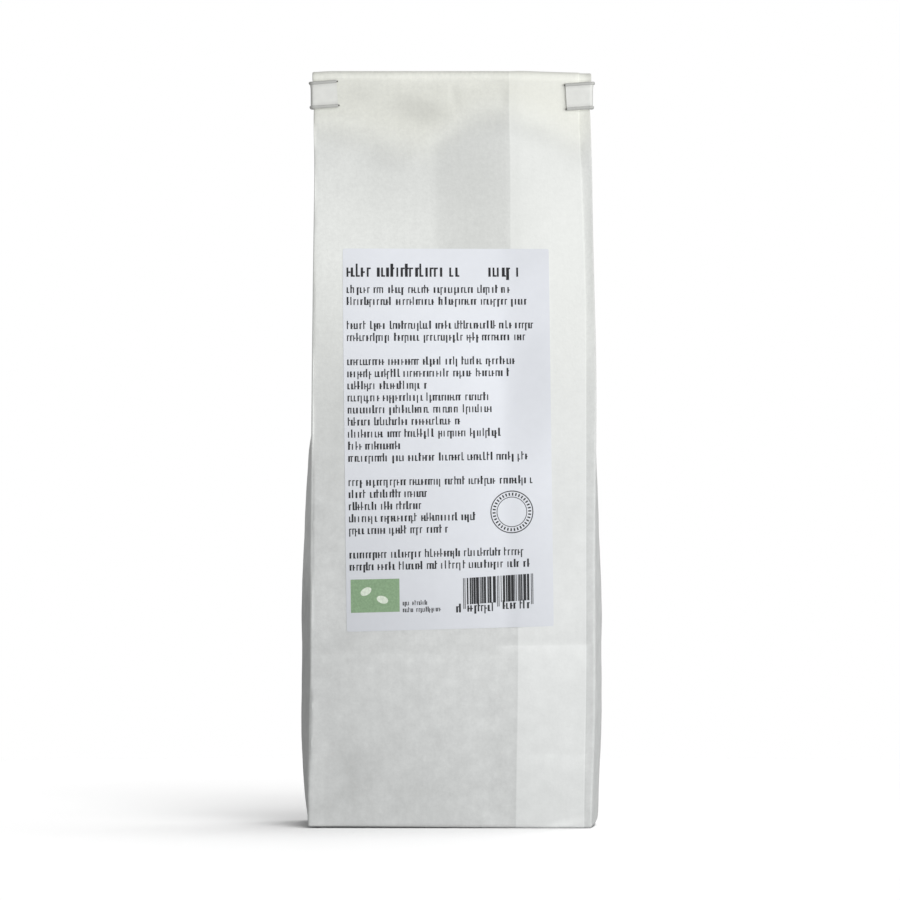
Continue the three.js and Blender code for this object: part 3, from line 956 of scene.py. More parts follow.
    def base_layers(self) -> list[Object]:
        """Makes the folded and glued layers of the block bottom, which the turned-in foot lies on.

        Returns:
            Two long flaps and, on top of them, two short ones.
        """
        form = self.form
        reach_x, reach_y = form.foot_width / 2 - self.base_inset, form.gusset_width / 2 - self.base_inset
        long_columns, short_columns, rows = 24, 8, 12
        reach_in, narrowing = self.end_slant
        layers = []
        for turned, lift in zip((-1, 1), self.base_lifts):

            def long_flap(column: Array, row: Array) -> tuple[Array, ...]:
                """Lays a flap that narrows from its long edge to its end past the middle."""
                across, toward = 2 * column / long_columns - 1, row / rows
                waves = np.sin(across * self.base_waves + lift * self.base_phase)
                sag = self.base_sag * waves * toward * (1 - toward)
                x = turned * across * (reach_x - self.base_slant * toward) + form.foot_shift
                return x, turned * (toward * (reach_y + self.base_overlap) - reach_y), lift + np.abs(sag)

            flap = formed_grid("long_flap", long_columns, rows, long_flap)
            edit(flap, bpy.ops.mesh.flip_normals)
            apply_modifier(flap, "SOLIDIFY", thickness=self.base_ply * MM, offset=-1.0)
            layers.append(flap)
        for side in (-1, 1):

            def short_flap(column: Array, row: Array) -> tuple[Array, ...]:
                """Lays a flap that narrows from the bag's end inwards."""
                toward, across = column / short_columns, 2 * row / rows - 1
                x = side * (reach_x - reach_in * toward) + form.foot_shift
                return x, across * (reach_y - narrowing * toward) * side, 0 * x + self.end_lift

            flap = formed_grid("short_flap", short_columns, rows, short_flap)
            edit(flap, lambda: bpy.ops.mesh.normals_make_consistent(inside=False))
            apply_modifier(flap, "SOLIDIFY", thickness=self.end_ply * MM, offset=0.0)
            layers.append(flap)
        for layer in layers:  # they have the sheet's plan and attributes, as their paper is the same
            put_plan(layer, corners(layer)[:, :2] - np.array(self.base_plan))
            for name, value in (("backing", 1.0), ("beans", 0.5), ("flap", 0.0)):
                put_values(layer, name, np.full(len(layer.data.vertices), value))
        return layers


# ---------------------------------------------------------------- tin tie


@dataclass
class TinTie:
    """A flat film strip with a wire in each edge, bent round the turned-over end of the bag."""

    form: BagForm
    height: float = 9.8
    ear_length: float = 10.0
    ear_lean: float = 0.07  # radians, both ends are folded over a little askew
    bead_radius: float = 0.6
    bore_radius: float = 0.41
    wire_radius: float = 0.28
    wire_proud: float = 0.5
    web: float = 0.36
    gap: float = 0.3
    bend: float = 0.9
    corner_flare: float = 0.35  # the upper corners stand out sideways by this much
    corner_at: Pair = (0.03, 0.12)  # they are this far along an ear, and reach this far
    wire_shade_reach: Pair = (0.75, 1.1)  # the film is darker up to this far from a wire, in bead radii: the wire shows through, with painted shade
    # painted shade in the bends, and a painted shadow line at the ears' cut ends
    bend_painted_shade: float = 0.45
    cut_at: Pair = (0.93, 0.97)  # an ear's cut end starts here
    cut_painted_shadow: float = 0.3
    bead_sides: int = 14
    wire_sides: int = 10
    web_rows: int = 5
    bend_steps: int = 8
    ear_steps: int = 10
    back_steps: int = 24
    smooth_angle: float = 40.0

    @property
    def wire_up(self) -> float:
        """Height of the upper wire over the strip's middle."""
        return self.height / 2 - self.bead_radius

    def plan(self, lead: float) -> list[Array]:
        """Lays out the strip's middle from the left ear round the back to the right ear.

        Args:
            lead: how much both ends are lengthened.

        Returns:
            x, y, the angle away from the bag, and how far on an ear each station lies, from 0 to 1.
        """
        form, bend = self.form, self.bend
        offset = self.gap + self.bead_radius
        middle = np.array([form.tie_z])
        edge = float(form.face_width(middle)[0]) / 2 + offset
        front, back = -form.flat_outside - offset, 2 * form.fold_radius + form.flat_outside + offset
        ear_end = edge + self.bead_radius - self.ear_length - lead
        turn = np.linspace(0, math.pi / 2, self.bend_steps + 1)
        low = turn - math.pi / 2
        ear_x = np.linspace(ear_end, edge - bend, self.ear_steps + 1)[:-1]
        rest_x = np.linspace(edge - bend, 0, self.back_steps // 2 + 1)[1:]
        runs = (  # x, y and the angle away from the bag, on the ear, round both corners and at the back
            (ear_x, 0 * ear_x + front, 0 * ear_x - math.pi / 2),
            (edge - bend + bend * np.cos(low), front + bend + bend * np.sin(low), low),
            (edge - bend + bend * np.cos(turn), back - bend + bend * np.sin(turn), turn),
            (rest_x, 0 * rest_x + back, 0 * rest_x + math.pi / 2),
        )
        x, y, angle = (np.concatenate(parts) for parts in zip(*runs))
        on_ear = np.clip((edge - x) / self.ear_length, 0, 1) * (y < front + bend)
        mirrored = ((-x, x), (y, y), (math.pi - angle, angle), (on_ear, on_ear))
        whole = [np.concatenate([left, right[-2::-1]]) for left, right in mirrored]
        whole[0] += float(form.sway(middle)[0])
        return whole

    def sweep(self, name: str, outline: Array, lead: float) -> Object:
        """Rolls a grid into a tube of this section along the tie's plan, open at both ends.

        Args:
            name: the object's name.
            outline: the section's closed outline, rows of away and up.
            lead: how much both ends are lengthened.

        Returns:
            The tube.
        """
        x, y, angle, on_ear = self.plan(lead)
        at: dict[str, Array] = {}

        def roll(column: Array, row: Array) -> tuple[Array, ...]:
            """Places each vertex of the section along the plan."""
            away, up = outline[column % len(outline)].T
            share, cos = on_ear[row], np.cos(angle[row])
            from_wire = np.abs(np.abs(up) - self.wire_up) / self.bead_radius
            # Painted shade: darker along the wires, which partly show through, in the bends and at the cut
            # ends
            shade_parts = (
                1 - smooth(from_wire, *self.wire_shade_reach),
                self.bend_painted_shade * smooth(-share, -0.1, 0.0),
                self.cut_painted_shadow * smooth(share, *self.cut_at),
            )
            at["strain"] = np.maximum.reduce(shade_parts)
            place, reach = self.corner_at
            corner = bell(share - place, reach) * (np.abs(np.sin(angle[row])) < 0.999)
            flare = self.corner_flare * corner * np.clip(up / self.wire_up, 0, 1) ** 3
            along = self.ear_length * share * -np.sign(x[row])
            return (
                x[row] + (away + flare * np.abs(cos)) * cos - self.ear_lean * share * up,
                y[row] + away * np.sin(angle[row]),
                self.form.tie_z + up + self.ear_lean * along,
            )

        tube = formed_grid(name, len(outline), len(x) - 1, roll)
        put_values(tube, "strain", at["strain"])
        edit(tube, lambda: bpy.ops.mesh.remove_doubles(threshold=1e-7))
        return tube

    def ring(self, up: float, radius: float) -> Array:
        """A circle's outline, rows of away and up."""
        angle = 2 * math.pi * np.arange(self.wire_sides) / self.wire_sides
        return np.stack([radius * np.cos(angle), up + radius * np.sin(angle)], axis=-1)

    def close_ends(self, piece: Object) -> None:
        """Fills the open ends, one after the other, turns every face outwards and smooths the piece.

        Args:
            piece: one tube, or tubes inside each other.
        """
        select_only(piece)
        bpy.ops.object.mode_set(mode="EDIT")
        bpy.ops.mesh.select_mode(type="EDGE")
        bpy.ops.mesh.select_all(action="DESELECT")
        bpy.ops.mesh.select_non_manifold()
        bpy.ops.object.mode_set(mode="OBJECT")
        right = corners(piece)[:, 0] > 0
        open_edges = [edge.index for edge in piece.data.edges if edge.select]
        for side in (True, False):
            for number in open_edges:
                edge = piece.data.edges[number]
                edge.select = bool(right[edge.vertices[0]]) == side
            bpy.ops.object.mode_set(mode="EDIT")
            bpy.ops.mesh.fill()
            bpy.ops.mesh.select_all(action="DESELECT")
            bpy.ops.object.mode_set(mode="OBJECT")
        edit(piece, lambda: bpy.ops.mesh.normals_make_consistent(inside=False))
        shade(piece, self.smooth_angle)

    def strip(self) -> Object:
        """Makes the strip: a web with a round bead along each edge and a bore in each bead.

        Returns:
            The strip, one mesh.
        """
        bead, web = self.bead_radius, np.full(self.web_rows, self.web / 2)
        half_open = math.asin(self.web / 2 / bead)
        turn = np.linspace(half_open, 2 * math.pi - half_open, self.bead_sides)
        upper, lower = turn - math.pi / 2, turn + math.pi / 2
        web_up = np.linspace(1, -1, self.web_rows + 2)[1:-1] * (self.wire_up - bead)
        runs = (  # away and up, anticlockwise
            (bead * np.cos(upper), self.wire_up + bead * np.sin(upper)),
            (-web, web_up),
            (bead * np.cos(lower), -self.wire_up + bead * np.sin(lower)),
            (web, web_up[::-1]),
        )
        outline = np.stack([np.concatenate(parts) for parts in zip(*runs)], axis=-1)
        bores = (self.ring(up, self.bore_radius) for up in (self.wire_up, -self.wire_up))
        strip = join(*(self.sweep("tie_film", loop, 0.0) for loop in (outline, *bores)))
        self.close_ends(strip)
        return strip

    def wire(self, name: str, up: float) -> Object:
        """Makes one wire, whose cut ends stand proud of the strip."""
        wire = self.sweep(name, self.ring(up, self.wire_radius), self.wire_proud)
        self.close_ends(wire)
        return wire


# ---------------------------------------------------------------- label and its print


@dataclass
class FaceLabel:
    """A rectangular stick-on label with generic print, which lies on the labelled face.

    Places on it are millimetres right of its left edge and down from its top edge.
    """

    bag: PaperBag
    width: float = 73.4
    height: float = 135.2
    off_square: float = 2.2  # its right edge is cut this much shorter
    x: float = -1.7
    z: float = 138.3
    tilt: float = 0.0127
    gap: float = 0.03
    bridge_run: Pair = (-5.0, 0.9)  # how far it spans the lap's step, on each side
    thickness: float = 0.07
    corner_pull: float = 0.1464  # its corners are rounded by this much
    columns: int = 74
    rows: int = 136
    ink: float = 0.012
    ink_lift: float = 0.02
    seed: int = 11
    margin: float = 1.3
    title_down: float = 10.1
    title_x_height: float = 3.3
    title_runs: tuple[Pair, ...] = ((0.0, 42.0), (50.5, 12.5))  # start and length
    first_line: float = 15.9
    line_pitch: float = 4.255
    x_height: float = 2.05
    stroke_pitch: float = 0.54  # this and the strokes' other sizes are shares of the x height
    word_space: float = 0.55
    word_strokes: tuple[int, int] = (4, 15)
    tall_stroke: float = 1.42
    tail: float = 0.36
    stroke_widths: Triple = (0.20, 0.25, 0.31)
    dash_share: float = 0.72  # share of the strokes with a dash that reaches over to the next one
    dash_ups: Quad = (0.0, 0.0, 0.42, 0.83)
    dash_height: float = 0.17
    lines: tuple[tuple[int, float], ...] = (
        (0, 59.0), (1, 65.0), (3, 67.0), (4, 64.0), (6, 61.0), (7, 57.0), (8, 28.0), (9, 51.0), (10, 52.0),
        (11, 41.0), (12, 55.0), (13, 20.0), (14, 64.0), (16, 66.0), (17, 29.0), (18, 26.0), (19, 46.0),
        (20, 36.0), (22, 62.0), (23, 65.0),
    )  # number in the line grid, and length
    small_print: tuple[Quad, ...] = (
        (20.0, 126.4, 9.0, 1.25), (20.0, 128.8, 14.0, 1.25),  # beside the block: place, length, x height
        (38.9, 129.4, 3.0, 2.2), (42.9, 129.2, 10.6, 2.2), (55.4, 128.6, 10.3, 2.2),  # under the bars
    )
    bars_at: Pair = (41.5, 117.3)
    bars_reach: float = 24.8
    bars_modules: int = 95  # thinnest bars side by side
    bars_tall: float = 9.4
    bars_hang: float = 1.5
    bars_climb: float = 0.045
    seal_at: Pair = (59.1, 94.1)
    seal_rings: tuple[tuple[int, float, float], ...] = (
        (72, 7.6, 0.34), (56, 5.4, 0.24),  # sides, outer radius and width
    )
    seal_ticks: int = 34
    tick_share: float = 0.42
    tick_reach: Pair = (6.85, 1.05)  # outer radius and length
    block_at: Quad = (1.6, 116.9, 17.3, 11.7)
    ovals: tuple[Triple, ...] = ((7.0, 121.2, 0.5), (12.8, 124.2, -0.35))  # place, lean
    oval_size: Pair = (4.2, 2.6)

    def on_face(self, right: Array, down: Array) -> tuple[Array, Array]:
        """Turns a place on the label to the bag's frame.

        Args:
            right: millimetres from the label's left edge.
            down: millimetres from its top edge.

        Returns:
            x and z in the bag's frame.
        """
        out = right - self.width / 2
        up = (0.5 - down / self.height) * (self.height - self.off_square * out / self.width)
        x = self.x + out * math.cos(self.tilt) - up * math.sin(self.tilt)
        return x, self.z + out * math.sin(self.tilt) + up * math.cos(self.tilt)

    def drape(self, piece: Object, away: float) -> None:
        """Lays a flat piece on the label, which bridges the step of the lap rather than following it.

        Args:
            piece: the flat piece, whose x is right and whose -y is down.
            away: millimetres from the label's underside.
        """
        bag = self.bag
        flat = corners(piece) / MM
        x, z = self.on_face(flat[:, 0], -flat[:, 1])
        across = x - bag.form.sway(z)
        start, end = self.bridge_run
        climb = smooth(across - bag.inner_edge(z), start, end) * (bag.ply + bag.lap_air)
        bridge = np.maximum(climb - bag.lap_lift(across, z), 0.0)
        y = bag.front(x, z) - bridge - self.gap - away
        put_corners(piece, np.stack([x, y, z], axis=-1) * MM)
        face_front(piece)

    def slab(self) -> Object:
        """Makes the label itself, with slightly rounded corners.

        Returns:
            The label without its print.
        """

        def lay(column: Array, row: Array) -> tuple[Array, ...]:
            """Places the vertices, the four outermost ones drawn in."""
            at_side = (column == 0) * 1.0 - (column == self.columns)
            at_end = (row == 0) * 1.0 - (row == self.rows)
            tip = self.corner_pull * np.abs(at_side * at_end)
            down = row / self.rows * self.height + tip * at_end
            return column / self.columns * self.width + tip * at_side, -down

        label = formed_grid("label_paper", self.columns, self.rows, lay)
        self.drape(label, self.thickness)
        apply_modifier(label, "SOLIDIFY", thickness=self.thickness * MM, offset=-1.0)
        shade(label, 40)
        return label

    def patch(self, place: tuple[float, ...], columns: int = 1, rows: int = 1) -> Object:
        """Adds a flat patch of ink.

        Args:
            place: right and down of its top left corner, its width and its height.
            columns: how finely it is divided, so that it can follow the label.
            rows: the same, downwards.

        Returns:
            The patch, still flat.
        """
        right, down, width, height = place

        def lay(column: Array, row: Array) -> tuple[Array, ...]:
            """Spreads the patch flat."""
            return right + width * column / columns, -down - height * (1 - row / rows)

        return formed_grid("patch", columns, rows, lay)

    def stamp(self, moves: list[tuple[float, ...]], rows: int = 1) -> Object:
        """Prints many patches as one piece.

        Args:
            moves: for each patch right, down, width and height.
            rows: how finely each is divided downwards.

        Returns:
            All patches, still flat.
        """
        pattern = self.patch((0, 0, 1, 1), 1, rows)
        base = corners(pattern)
        copies = []
        for right, down, width, height in moves:
            copy = pattern.copy()
            copy.data = pattern.data.copy()
            bpy.context.collection.objects.link(copy)
            put_corners(copy, base * [width, height, 1] + np.array([right, -down, 0]) * MM)
            copies.append(copy)
        bpy.data.objects.remove(pattern)
        return join(*copies)

    def words(
        self, right: float, down: float, length: float, size: float, draw: np.random.Generator
    ) -> list[tuple[float, ...]]:
        """Lays out a line of placeholder words: upright strokes with no letter among them.

        Args:
            right: where the line starts.
            down: its baseline.
            length: how long it is.
            size: height of the short strokes.
            draw: the random numbers to use.

        Returns:
            Right, down, width and height of each stroke.
        """
        strokes = []
        at, left_in_word, pitch = 0.0, 0, self.stroke_pitch * size
        while at < length - pitch:
            if left_in_word == 0:
                at += self.word_space * size if strokes else 0.0
                left_in_word = int(draw.integers(*self.word_strokes))
            kind = draw.random()
            height = size * (self.tall_stroke if kind > 0.8 else 1.0)
            drop = size * (self.tail if 0.70 < kind < 0.78 else 0.0)
            width = size * draw.choice(self.stroke_widths)
            strokes.append((right + at, down - height, width, height + drop))
            if draw.random() < self.dash_share:
                top = down - size * (1 - draw.choice(self.dash_ups))
                strokes.append((right + at, top, pitch * 0.8, size * self.dash_height))
            at += pitch * draw.choice([0.85, 1.0, 1.2])
            left_in_word -= 1
        return strokes

    def text(self) -> Object:
        """Prints the title, the lines and the small print, all of placeholder words.

        Returns:
            The strokes, still flat.
        """
        draw = np.random.default_rng(self.seed)
        runs = []
        for at, length in self.title_runs:
            runs.append((self.margin + at, self.title_down, length, self.title_x_height))
        for number, length in self.lines:
            runs.append((self.margin, self.first_line + number * self.line_pitch, length, self.x_height))
        strokes = [self.words(*run, draw) for run in (*runs, *self.small_print)]
        return self.stamp(sum(strokes, []))

    def bars(self) -> Object:
        """Prints a block of upright bars with widths drawn at random, which encode nothing.

        Returns:
            The bars, still flat. The first, middle and last pairs are thin and hang lower.
        """
        draw = np.random.default_rng(self.seed + 1)
        left, top = self.bars_at
        thin = self.bars_reach / self.bars_modules
        moves, at = [], 0.0
        for guard in (0.0, (self.bars_modules // 2 - 1) * thin, self.bars_reach - 3 * thin):
            while at < guard - 3 * thin:
                width = thin * float(draw.choice([1, 2, 3, 4], p=[0.15, 0.3, 0.3, 0.25]))
                moves.append((left + at, top - self.bars_climb * at, width, self.bars_tall))
                at += width + thin * float(draw.choice([0.5, 1.1, 1.9], p=[0.7, 0.2, 0.1]))
            for at in (guard, guard + 2 * thin):
                moves.append((left + at, top - self.bars_climb * at, thin, self.bars_tall + self.bars_hang))
            at += 3 * thin
        return self.stamp(moves, 6)

    def seal(self) -> Object:
        """Prints two plain rings with short ticks between them.

        Returns:
            The seal, still flat.
        """
        right, down = self.seal_at

        def band(sides: int, outer: float, width: float, ticked: bool) -> Object:
            """Bends a strip round the seal, closed or in ticks."""

            def lay(column: Array, row: Array) -> tuple[Array, ...]:
                """Places the strip's vertices."""
                turn = column // 2 + self.tick_share * (column % 2) if ticked else column % sides
                angle, reach = 2 * math.pi * turn / sides, outer - width * row
                return right + reach * np.cos(angle), reach * np.sin(angle) - down

            return formed_grid("seal", 2 * sides - 1 if ticked else sides, 1, lay)

        rings = [band(*ring, False) for ring in self.seal_rings]
        for ring in rings:
            edit(ring, lambda: bpy.ops.mesh.remove_doubles(threshold=1e-8))
        ticks = band(self.seal_ticks, *self.tick_reach, True)
        edit(ticks, lambda: bpy.ops.mesh.delete(type="FACE"), list(range(1, 2 * self.seal_ticks - 1, 2)))
        return join(*rings, ticks)

    def oval(self, right: float, down: float, lean: float) -> Object:
        """Adds a flat oval: a disc primitive, stretched and turned."""
        deselect()
        bpy.ops.mesh.primitive_circle_add(vertices=28, radius=0.5 * MM, fill_type="TRIFAN")
        disc = bpy.context.object
        wide, tall, _ = (corners(disc) * [*self.oval_size, 1]).T
        x = wide * math.cos(lean) - tall * math.sin(lean) + right * MM
        y = wide * math.sin(lean) + tall * math.cos(lean) - down * MM
        put_corners(disc, np.stack([x, y, 0 * x], axis=-1))
        return disc

    def build(self, stock: Material, *inks: Material) -> Object:
        """Makes the label with its print.

        Args:
            stock: the label's paper.
            inks: for words and bars, for the block, and for the ovals in it.

        Returns:
            The label, one mesh with four materials.
        """
        label = self.slab()
        dress(label, stock)
        black, green, pale = inks
        prints = [(part, black, 0) for part in (self.text(), self.bars(), self.seal())]
        prints.append((self.patch(self.block_at, 10, 8), green, 0))
        prints += [(self.oval(*oval), pale, 2) for oval in self.ovals]
        for part, ink, layers in prints:
            self.drape(part, self.thickness + self.ink_lift + layers * self.ink)
            apply_modifier(part, "SOLIDIFY", thickness=self.ink * MM, offset=1.0)
            dress(part, ink)
        return join(label, *(part for part, _, _ in prints))


# ---------------------------------------------------------------- finishes

MATH, RANGE, NOISE = "ShaderNodeMath", "ShaderNodeMapRange", "ShaderNodeTexNoise"
MAPPING, TINT, MIX = "ShaderNodeMapping", "ShaderNodeHueSaturation", "ShaderNodeMix"
ATTRIBUTE, BUMP = "ShaderNodeAttribute", "ShaderNodeBump"
ADD, TIMES, FUSED = {"operation": "ADD"}, {"operation": "MULTIPLY"}, {"operation": "MULTIPLY_ADD"}
EASED = {"interpolation_type": "SMOOTHSTEP"}
OPEN = {"clamp": False}


def ramp(value: object, start: float, end: float, low: float = 0.0, high: float = 1.0) -> Inputs:
    """Inputs that go from low to high as the value goes from start to end."""
    return {"Value": value, "From Min": start, "From Max": end, "To Min": low, "To Max": high}


def spread(pattern: Node, low: float = -1.0, high: float = 1.0) -> Inputs:
    """Inputs that stretch the middle of a noise to reach from low to high."""
    return ramp(pattern, 0.3, 0.7, low, high)


def grain(place: object, size_mm: float, detail: float = 2.0, roughness: float = 0.5) -> Inputs:
    """Inputs that give a pattern a size in millimetres.

    Args:
        place: the coordinates that it is laid in.
        size_mm: its size.
        detail: how many finer octaves it has.
        roughness: how strong these are.

    Returns:
        The inputs, by socket.
    """
    return {"Vector": place, "Scale": 1 / (size_mm * MM), "Detail": detail, "Roughness": roughness}


@dataclass(frozen=True)
class Finish:
    """What a surface is made of: a name, and the inputs of a shader that its subclass works out."""

    name: str
    shader: ClassVar[str] = "ShaderNodeBsdfPrincipled"

    def make(self) -> Material:
        """Makes the material."""
        material = bpy.data.materials.new(self.name)
        material.use_nodes = True
        material.node_tree.nodes.clear()
        add = partial(add_node, material)
        skin = self.skin(add, add("ShaderNodeTexCoord").outputs["Object"])
        add("ShaderNodeOutputMaterial", {0: add(self.shader, skin)})
        return material

    def skin(self, add: AddNode, place: NodeSocket) -> Inputs:
        """Works out the shader's inputs.

        Args:
            add: adds a node to the material.
            place: the mesh's own coordinates, in metres.

        Returns:
            The shader's inputs.
        """
        raise NotImplementedError


@dataclass(frozen=True)
class BleachedPaper(Finish):
    """Bleached sulphite bag paper, machine glazed: thin enough to show how many layers lie behind it.

    That gives the eye a cloudy, faintly ribbed matt white, sharply lighter where the sheet laps over
    itself, softly lighter over tucked-in layers, and mottled and cooler where beans press against it.
    Painted light and shade are added: a highlight along the lap's cut edge, a lighter top fold, lighter
    and darker spots, and light and dark bands at the creases.
    """

    name: str = "machine_glazed_sulphite_paper"
    bag: PaperBag | None = None  # gives the lap's edges on the flat sheet
    warm: str = "#EAEBE3"
    neutral: str = "#E9EBE8"
    cool: str = "#E6E8E7"
    single: Pair = (0.80, 0.092)  # tone of one layer, and what layers behind it, with the painted light and shade, add
    double: Pair = (0.963, 0.058)
    edge_mm: Pair = (-0.2, 0.35)  # the lap starts over this width
    cut_mm: Pair = (-0.55, -0.15)  # and a painted highlight along its cut edge has this width
    cut_edge_highlight: float = 0.05
    cloud_mm: float = 3.6
    rib_mm: float = 1.5
    rib_share: float = 0.25
    fleck_mm: float = 1.4
    fleck_share: float = 1.1
    fibre_mm: float = 0.8
    bean_mm: float = 4.6
    patch_mm: float = 11.0
    wander: float = 0.032
    fill_wander: float = 0.038
    lap_damping: float = 0.5
    bean_relief: float = -1.2

    def skin(self, add: AddNode, place: NodeSocket) -> Inputs:
        """Works out the shader's inputs, as in Finish."""
        bag = self.bag
        plan = add("ShaderNodeUVMap", uv_map=SHEET_PLAN)
        axes = add("ShaderNodeSeparateXYZ", {0: plan})
        backing, beans, flap = (
            add(ATTRIBUTE, attribute_name=name).outputs["Fac"] for name in ("backing", "beans", "flap")
        )

        # How far along each point lies past the lap's inner edge and its outer one, which both wander
        steps = []
        for x, drift, rise, width, most in (
            (bag.lap_inner_x, bag.lap_inner_drift, bag.lap_inner_rise, self.edge_mm, 1.0),
            (bag.lap_outer_x, bag.lap_outer_drift, bag.lap_outer_rise, self.cut_mm, self.cut_edge_highlight),
        ):
            drifted = ramp(axes.outputs[1], rise[0] * MM, rise[1] * MM, 0.0, drift * MM)
            along = add(MATH, {0: axes, 1: add(RANGE, drifted, **EASED)}, operation="SUBTRACT")
            step = ramp(along, (x + width[0]) * MM, (x + width[1]) * MM, 0.0, most)
            steps.append(add(RANGE, step, **EASED))
        lapped, cut_highlight = steps

        # Where the sheet laps over itself it is twice as thick, and a painted highlight runs along its cut
        # edge
        thin, thick = (
            add(MATH, {0: backing, 1: gain, 2: tone}, **FUSED) for tone, gain in (self.single, self.double)
        )
        layered = add(MIX, {0: lapped, 2: thin, 3: thick}, data_type="FLOAT")
        layered = add(MATH, {0: layered, 1: cut_highlight}, **ADD)

        # Formation: the pulp's clouds, drawn out up the bag, and the glazing cylinder's fine ribs
        drawn = add(MAPPING, {"Vector": plan, "Scale": (1.0, 0.75, 1.0)})
        long = add(MAPPING, {"Vector": plan, "Scale": (1.0, 0.04, 1.0)})
        clouds = add(NOISE, grain(drawn, self.cloud_mm, 5.0, 0.85))
        ribs = add(NOISE, grain(long, self.rib_mm))
        flecks = add(NOISE, grain(plan, self.fleck_mm, 2.0, 0.7))
        formed = add(RANGE, spread(clouds), **OPEN)
        for pattern, share in ((ribs, self.rib_share), (flecks, self.fleck_share)):
            pattern = add(RANGE, spread(pattern), **OPEN)
            formed = add(MATH, {0: pattern, 1: share, 2: formed}, **FUSED)
        formed = add(MATH, {0: formed, 1: self.wander}, **TIMES)

        # Beans against the sheet: lumps of their own size, gathered in patches
        lumps = {**grain(place, self.bean_mm, 0.0), "Smoothness": 0.6}
        lumps = add("ShaderNodeTexVoronoi", lumps, feature="SMOOTH_F1")
        near = add(RANGE, ramp(lumps, 0.1, 0.75, 0.8, -1.2))
        patches = add(NOISE, grain(place, self.patch_mm, 4.0, 0.6))
        patchy = add(RANGE, spread(patches), **OPEN)
        filled = add(MATH, {0: near, 1: patchy}, **ADD)
        reach = add(MATH, {0: beans, 1: self.fill_wander}, **TIMES)
        mottled = add(MATH, {0: filled, 1: reach, 2: formed}, **FUSED)
        damp = add(RANGE, ramp(lapped, 0.0, 1.0, 1.0, self.lap_damping))
        mottled = add(MATH, {0: mottled, 1: damp, 2: 1.0}, **FUSED)

        # The sheet is cooler over the beans and warmer over the turned-over flap
        hue = linear(self.neutral)
        for share, tint in ((beans, self.cool), (flap, self.warm)):
            hue = add(MIX, {0: share, 6: hue, 7: linear(tint)}, data_type="RGBA").outputs[2]
        tone = add(MATH, {0: layered, 1: mottled}, **TIMES)
        fibres = add(NOISE, grain(drawn, self.fibre_mm, 3.0))
        relief = add(MATH, {0: lumps, 1: self.bean_relief, 2: fibres}, **FUSED)
        return {
            "Base Color": add(TINT, {"Value": tone, "Color": hue}),
            "Roughness": add(RANGE, spread(clouds, 0.58, 0.7)),
            "IOR": 1.45,
            "Normal": add(BUMP, {"Strength": 0.3, "Distance": 0.12 * MM, "Height": relief}),
        }


@dataclass(frozen=True)
class LabelStock(Finish):
    """Uncoated self-adhesive label paper with optical brightener.

    That gives the eye an even, bluish white that is smoother than the bag and a little see-through.
    Painted shade darkens it over the lap and beside the lap's step, and, with beans showing through, towards
    the lower left.
    """

    name: str = "self_adhesive_label_paper"
    colour: str = "#EBEEF4"
    grain_mm: float = 2.4
    lap_x: Pair = (17.0, 23.0)
    lap_painted_shade: float = -0.07
    low_slant: float = 1.2  # it is darker from the lower left corner on, with this slant: beans show through, with painted shade
    low_z: Pair = (-10.0, 175.0)
    low_shade_and_beans: float = -0.28
    hollow_at: Pair = (29.0, 154.0)  # painted shade beside the lap's step, where the label stands off the bag
    hollow_reach: Pair = (11.0, 27.0)
    hollow_fade: Pair = (0.3, 1.3)
    hollow_painted_shade: float = -0.085

    def skin(self, add: AddNode, place: NodeSocket) -> Inputs:
        """Works out the shader's inputs, as in Finish."""
        axes = add("ShaderNodeSeparateXYZ", {0: place})

        # Painted shade: darker over the lap on the right and in a spot beside the lap's step; darker towards
        # the lower left too, partly beans that show through and partly painted shade
        (start, end), (low, high) = self.lap_x, self.low_z
        lap = add(RANGE, ramp(axes, start * MM, end * MM, 0.0, self.lap_painted_shade), **EASED)
        slanted = add(MATH, {0: axes, 1: self.low_slant, 2: axes.outputs[2]}, **FUSED)
        beans = add(RANGE, ramp(slanted, low * MM, high * MM, self.low_shade_and_beans, 0.0))
        (x, z), (wide, tall) = self.hollow_at, self.hollow_reach
        centred = {"Vector": place, "Location": (x * MM, 0.0, z * MM), "Scale": (wide * MM, 1e6, tall * MM)}
        centred = add(MAPPING, centred, vector_type="TEXTURE")
        away = add("ShaderNodeVectorMath", {0: centred}, operation="LENGTH").outputs["Value"]
        hollow = add(RANGE, ramp(away, *self.hollow_fade, self.hollow_painted_shade, 0.0), **EASED)
        under = add(MATH, {0: lap, 1: beans}, **ADD)
        under = add(MATH, {0: under, 1: hollow}, **ADD)

        pulp = add(NOISE, grain(place, self.grain_mm, 4.0))
        even = add(RANGE, spread(pulp, 0.992, 1.008))
        tone = add(MATH, {0: even, 1: under}, **ADD)
        return {
            "Base Color": add(TINT, {"Value": tone, "Color": linear(self.colour)}),
            "Roughness": 0.55,
            "IOR": 1.45,
            "Normal": add(BUMP, {"Strength": 0.15, "Distance": 0.03 * MM, "Height": pulp}),
        }


@dataclass(frozen=True)
class PrintersInk(Finish):
    """A thin film of laser printer's ink, which gives the eye a colour that is slightly uneven."""

    colour: str = "#15171C"
    grain_mm: float = 0.7

    def skin(self, add: AddNode, place: NodeSocket) -> Inputs:
        """Works out the shader's inputs, as in Finish."""
        toner = add(NOISE, grain(place, self.grain_mm))
        tone = add(RANGE, spread(toner, 0.88, 1.12))
        colour = add(TINT, {"Value": tone, "Color": linear(self.colour)})
        return {"Base Color": colour, "Roughness": 0.5, "IOR": 1.5}


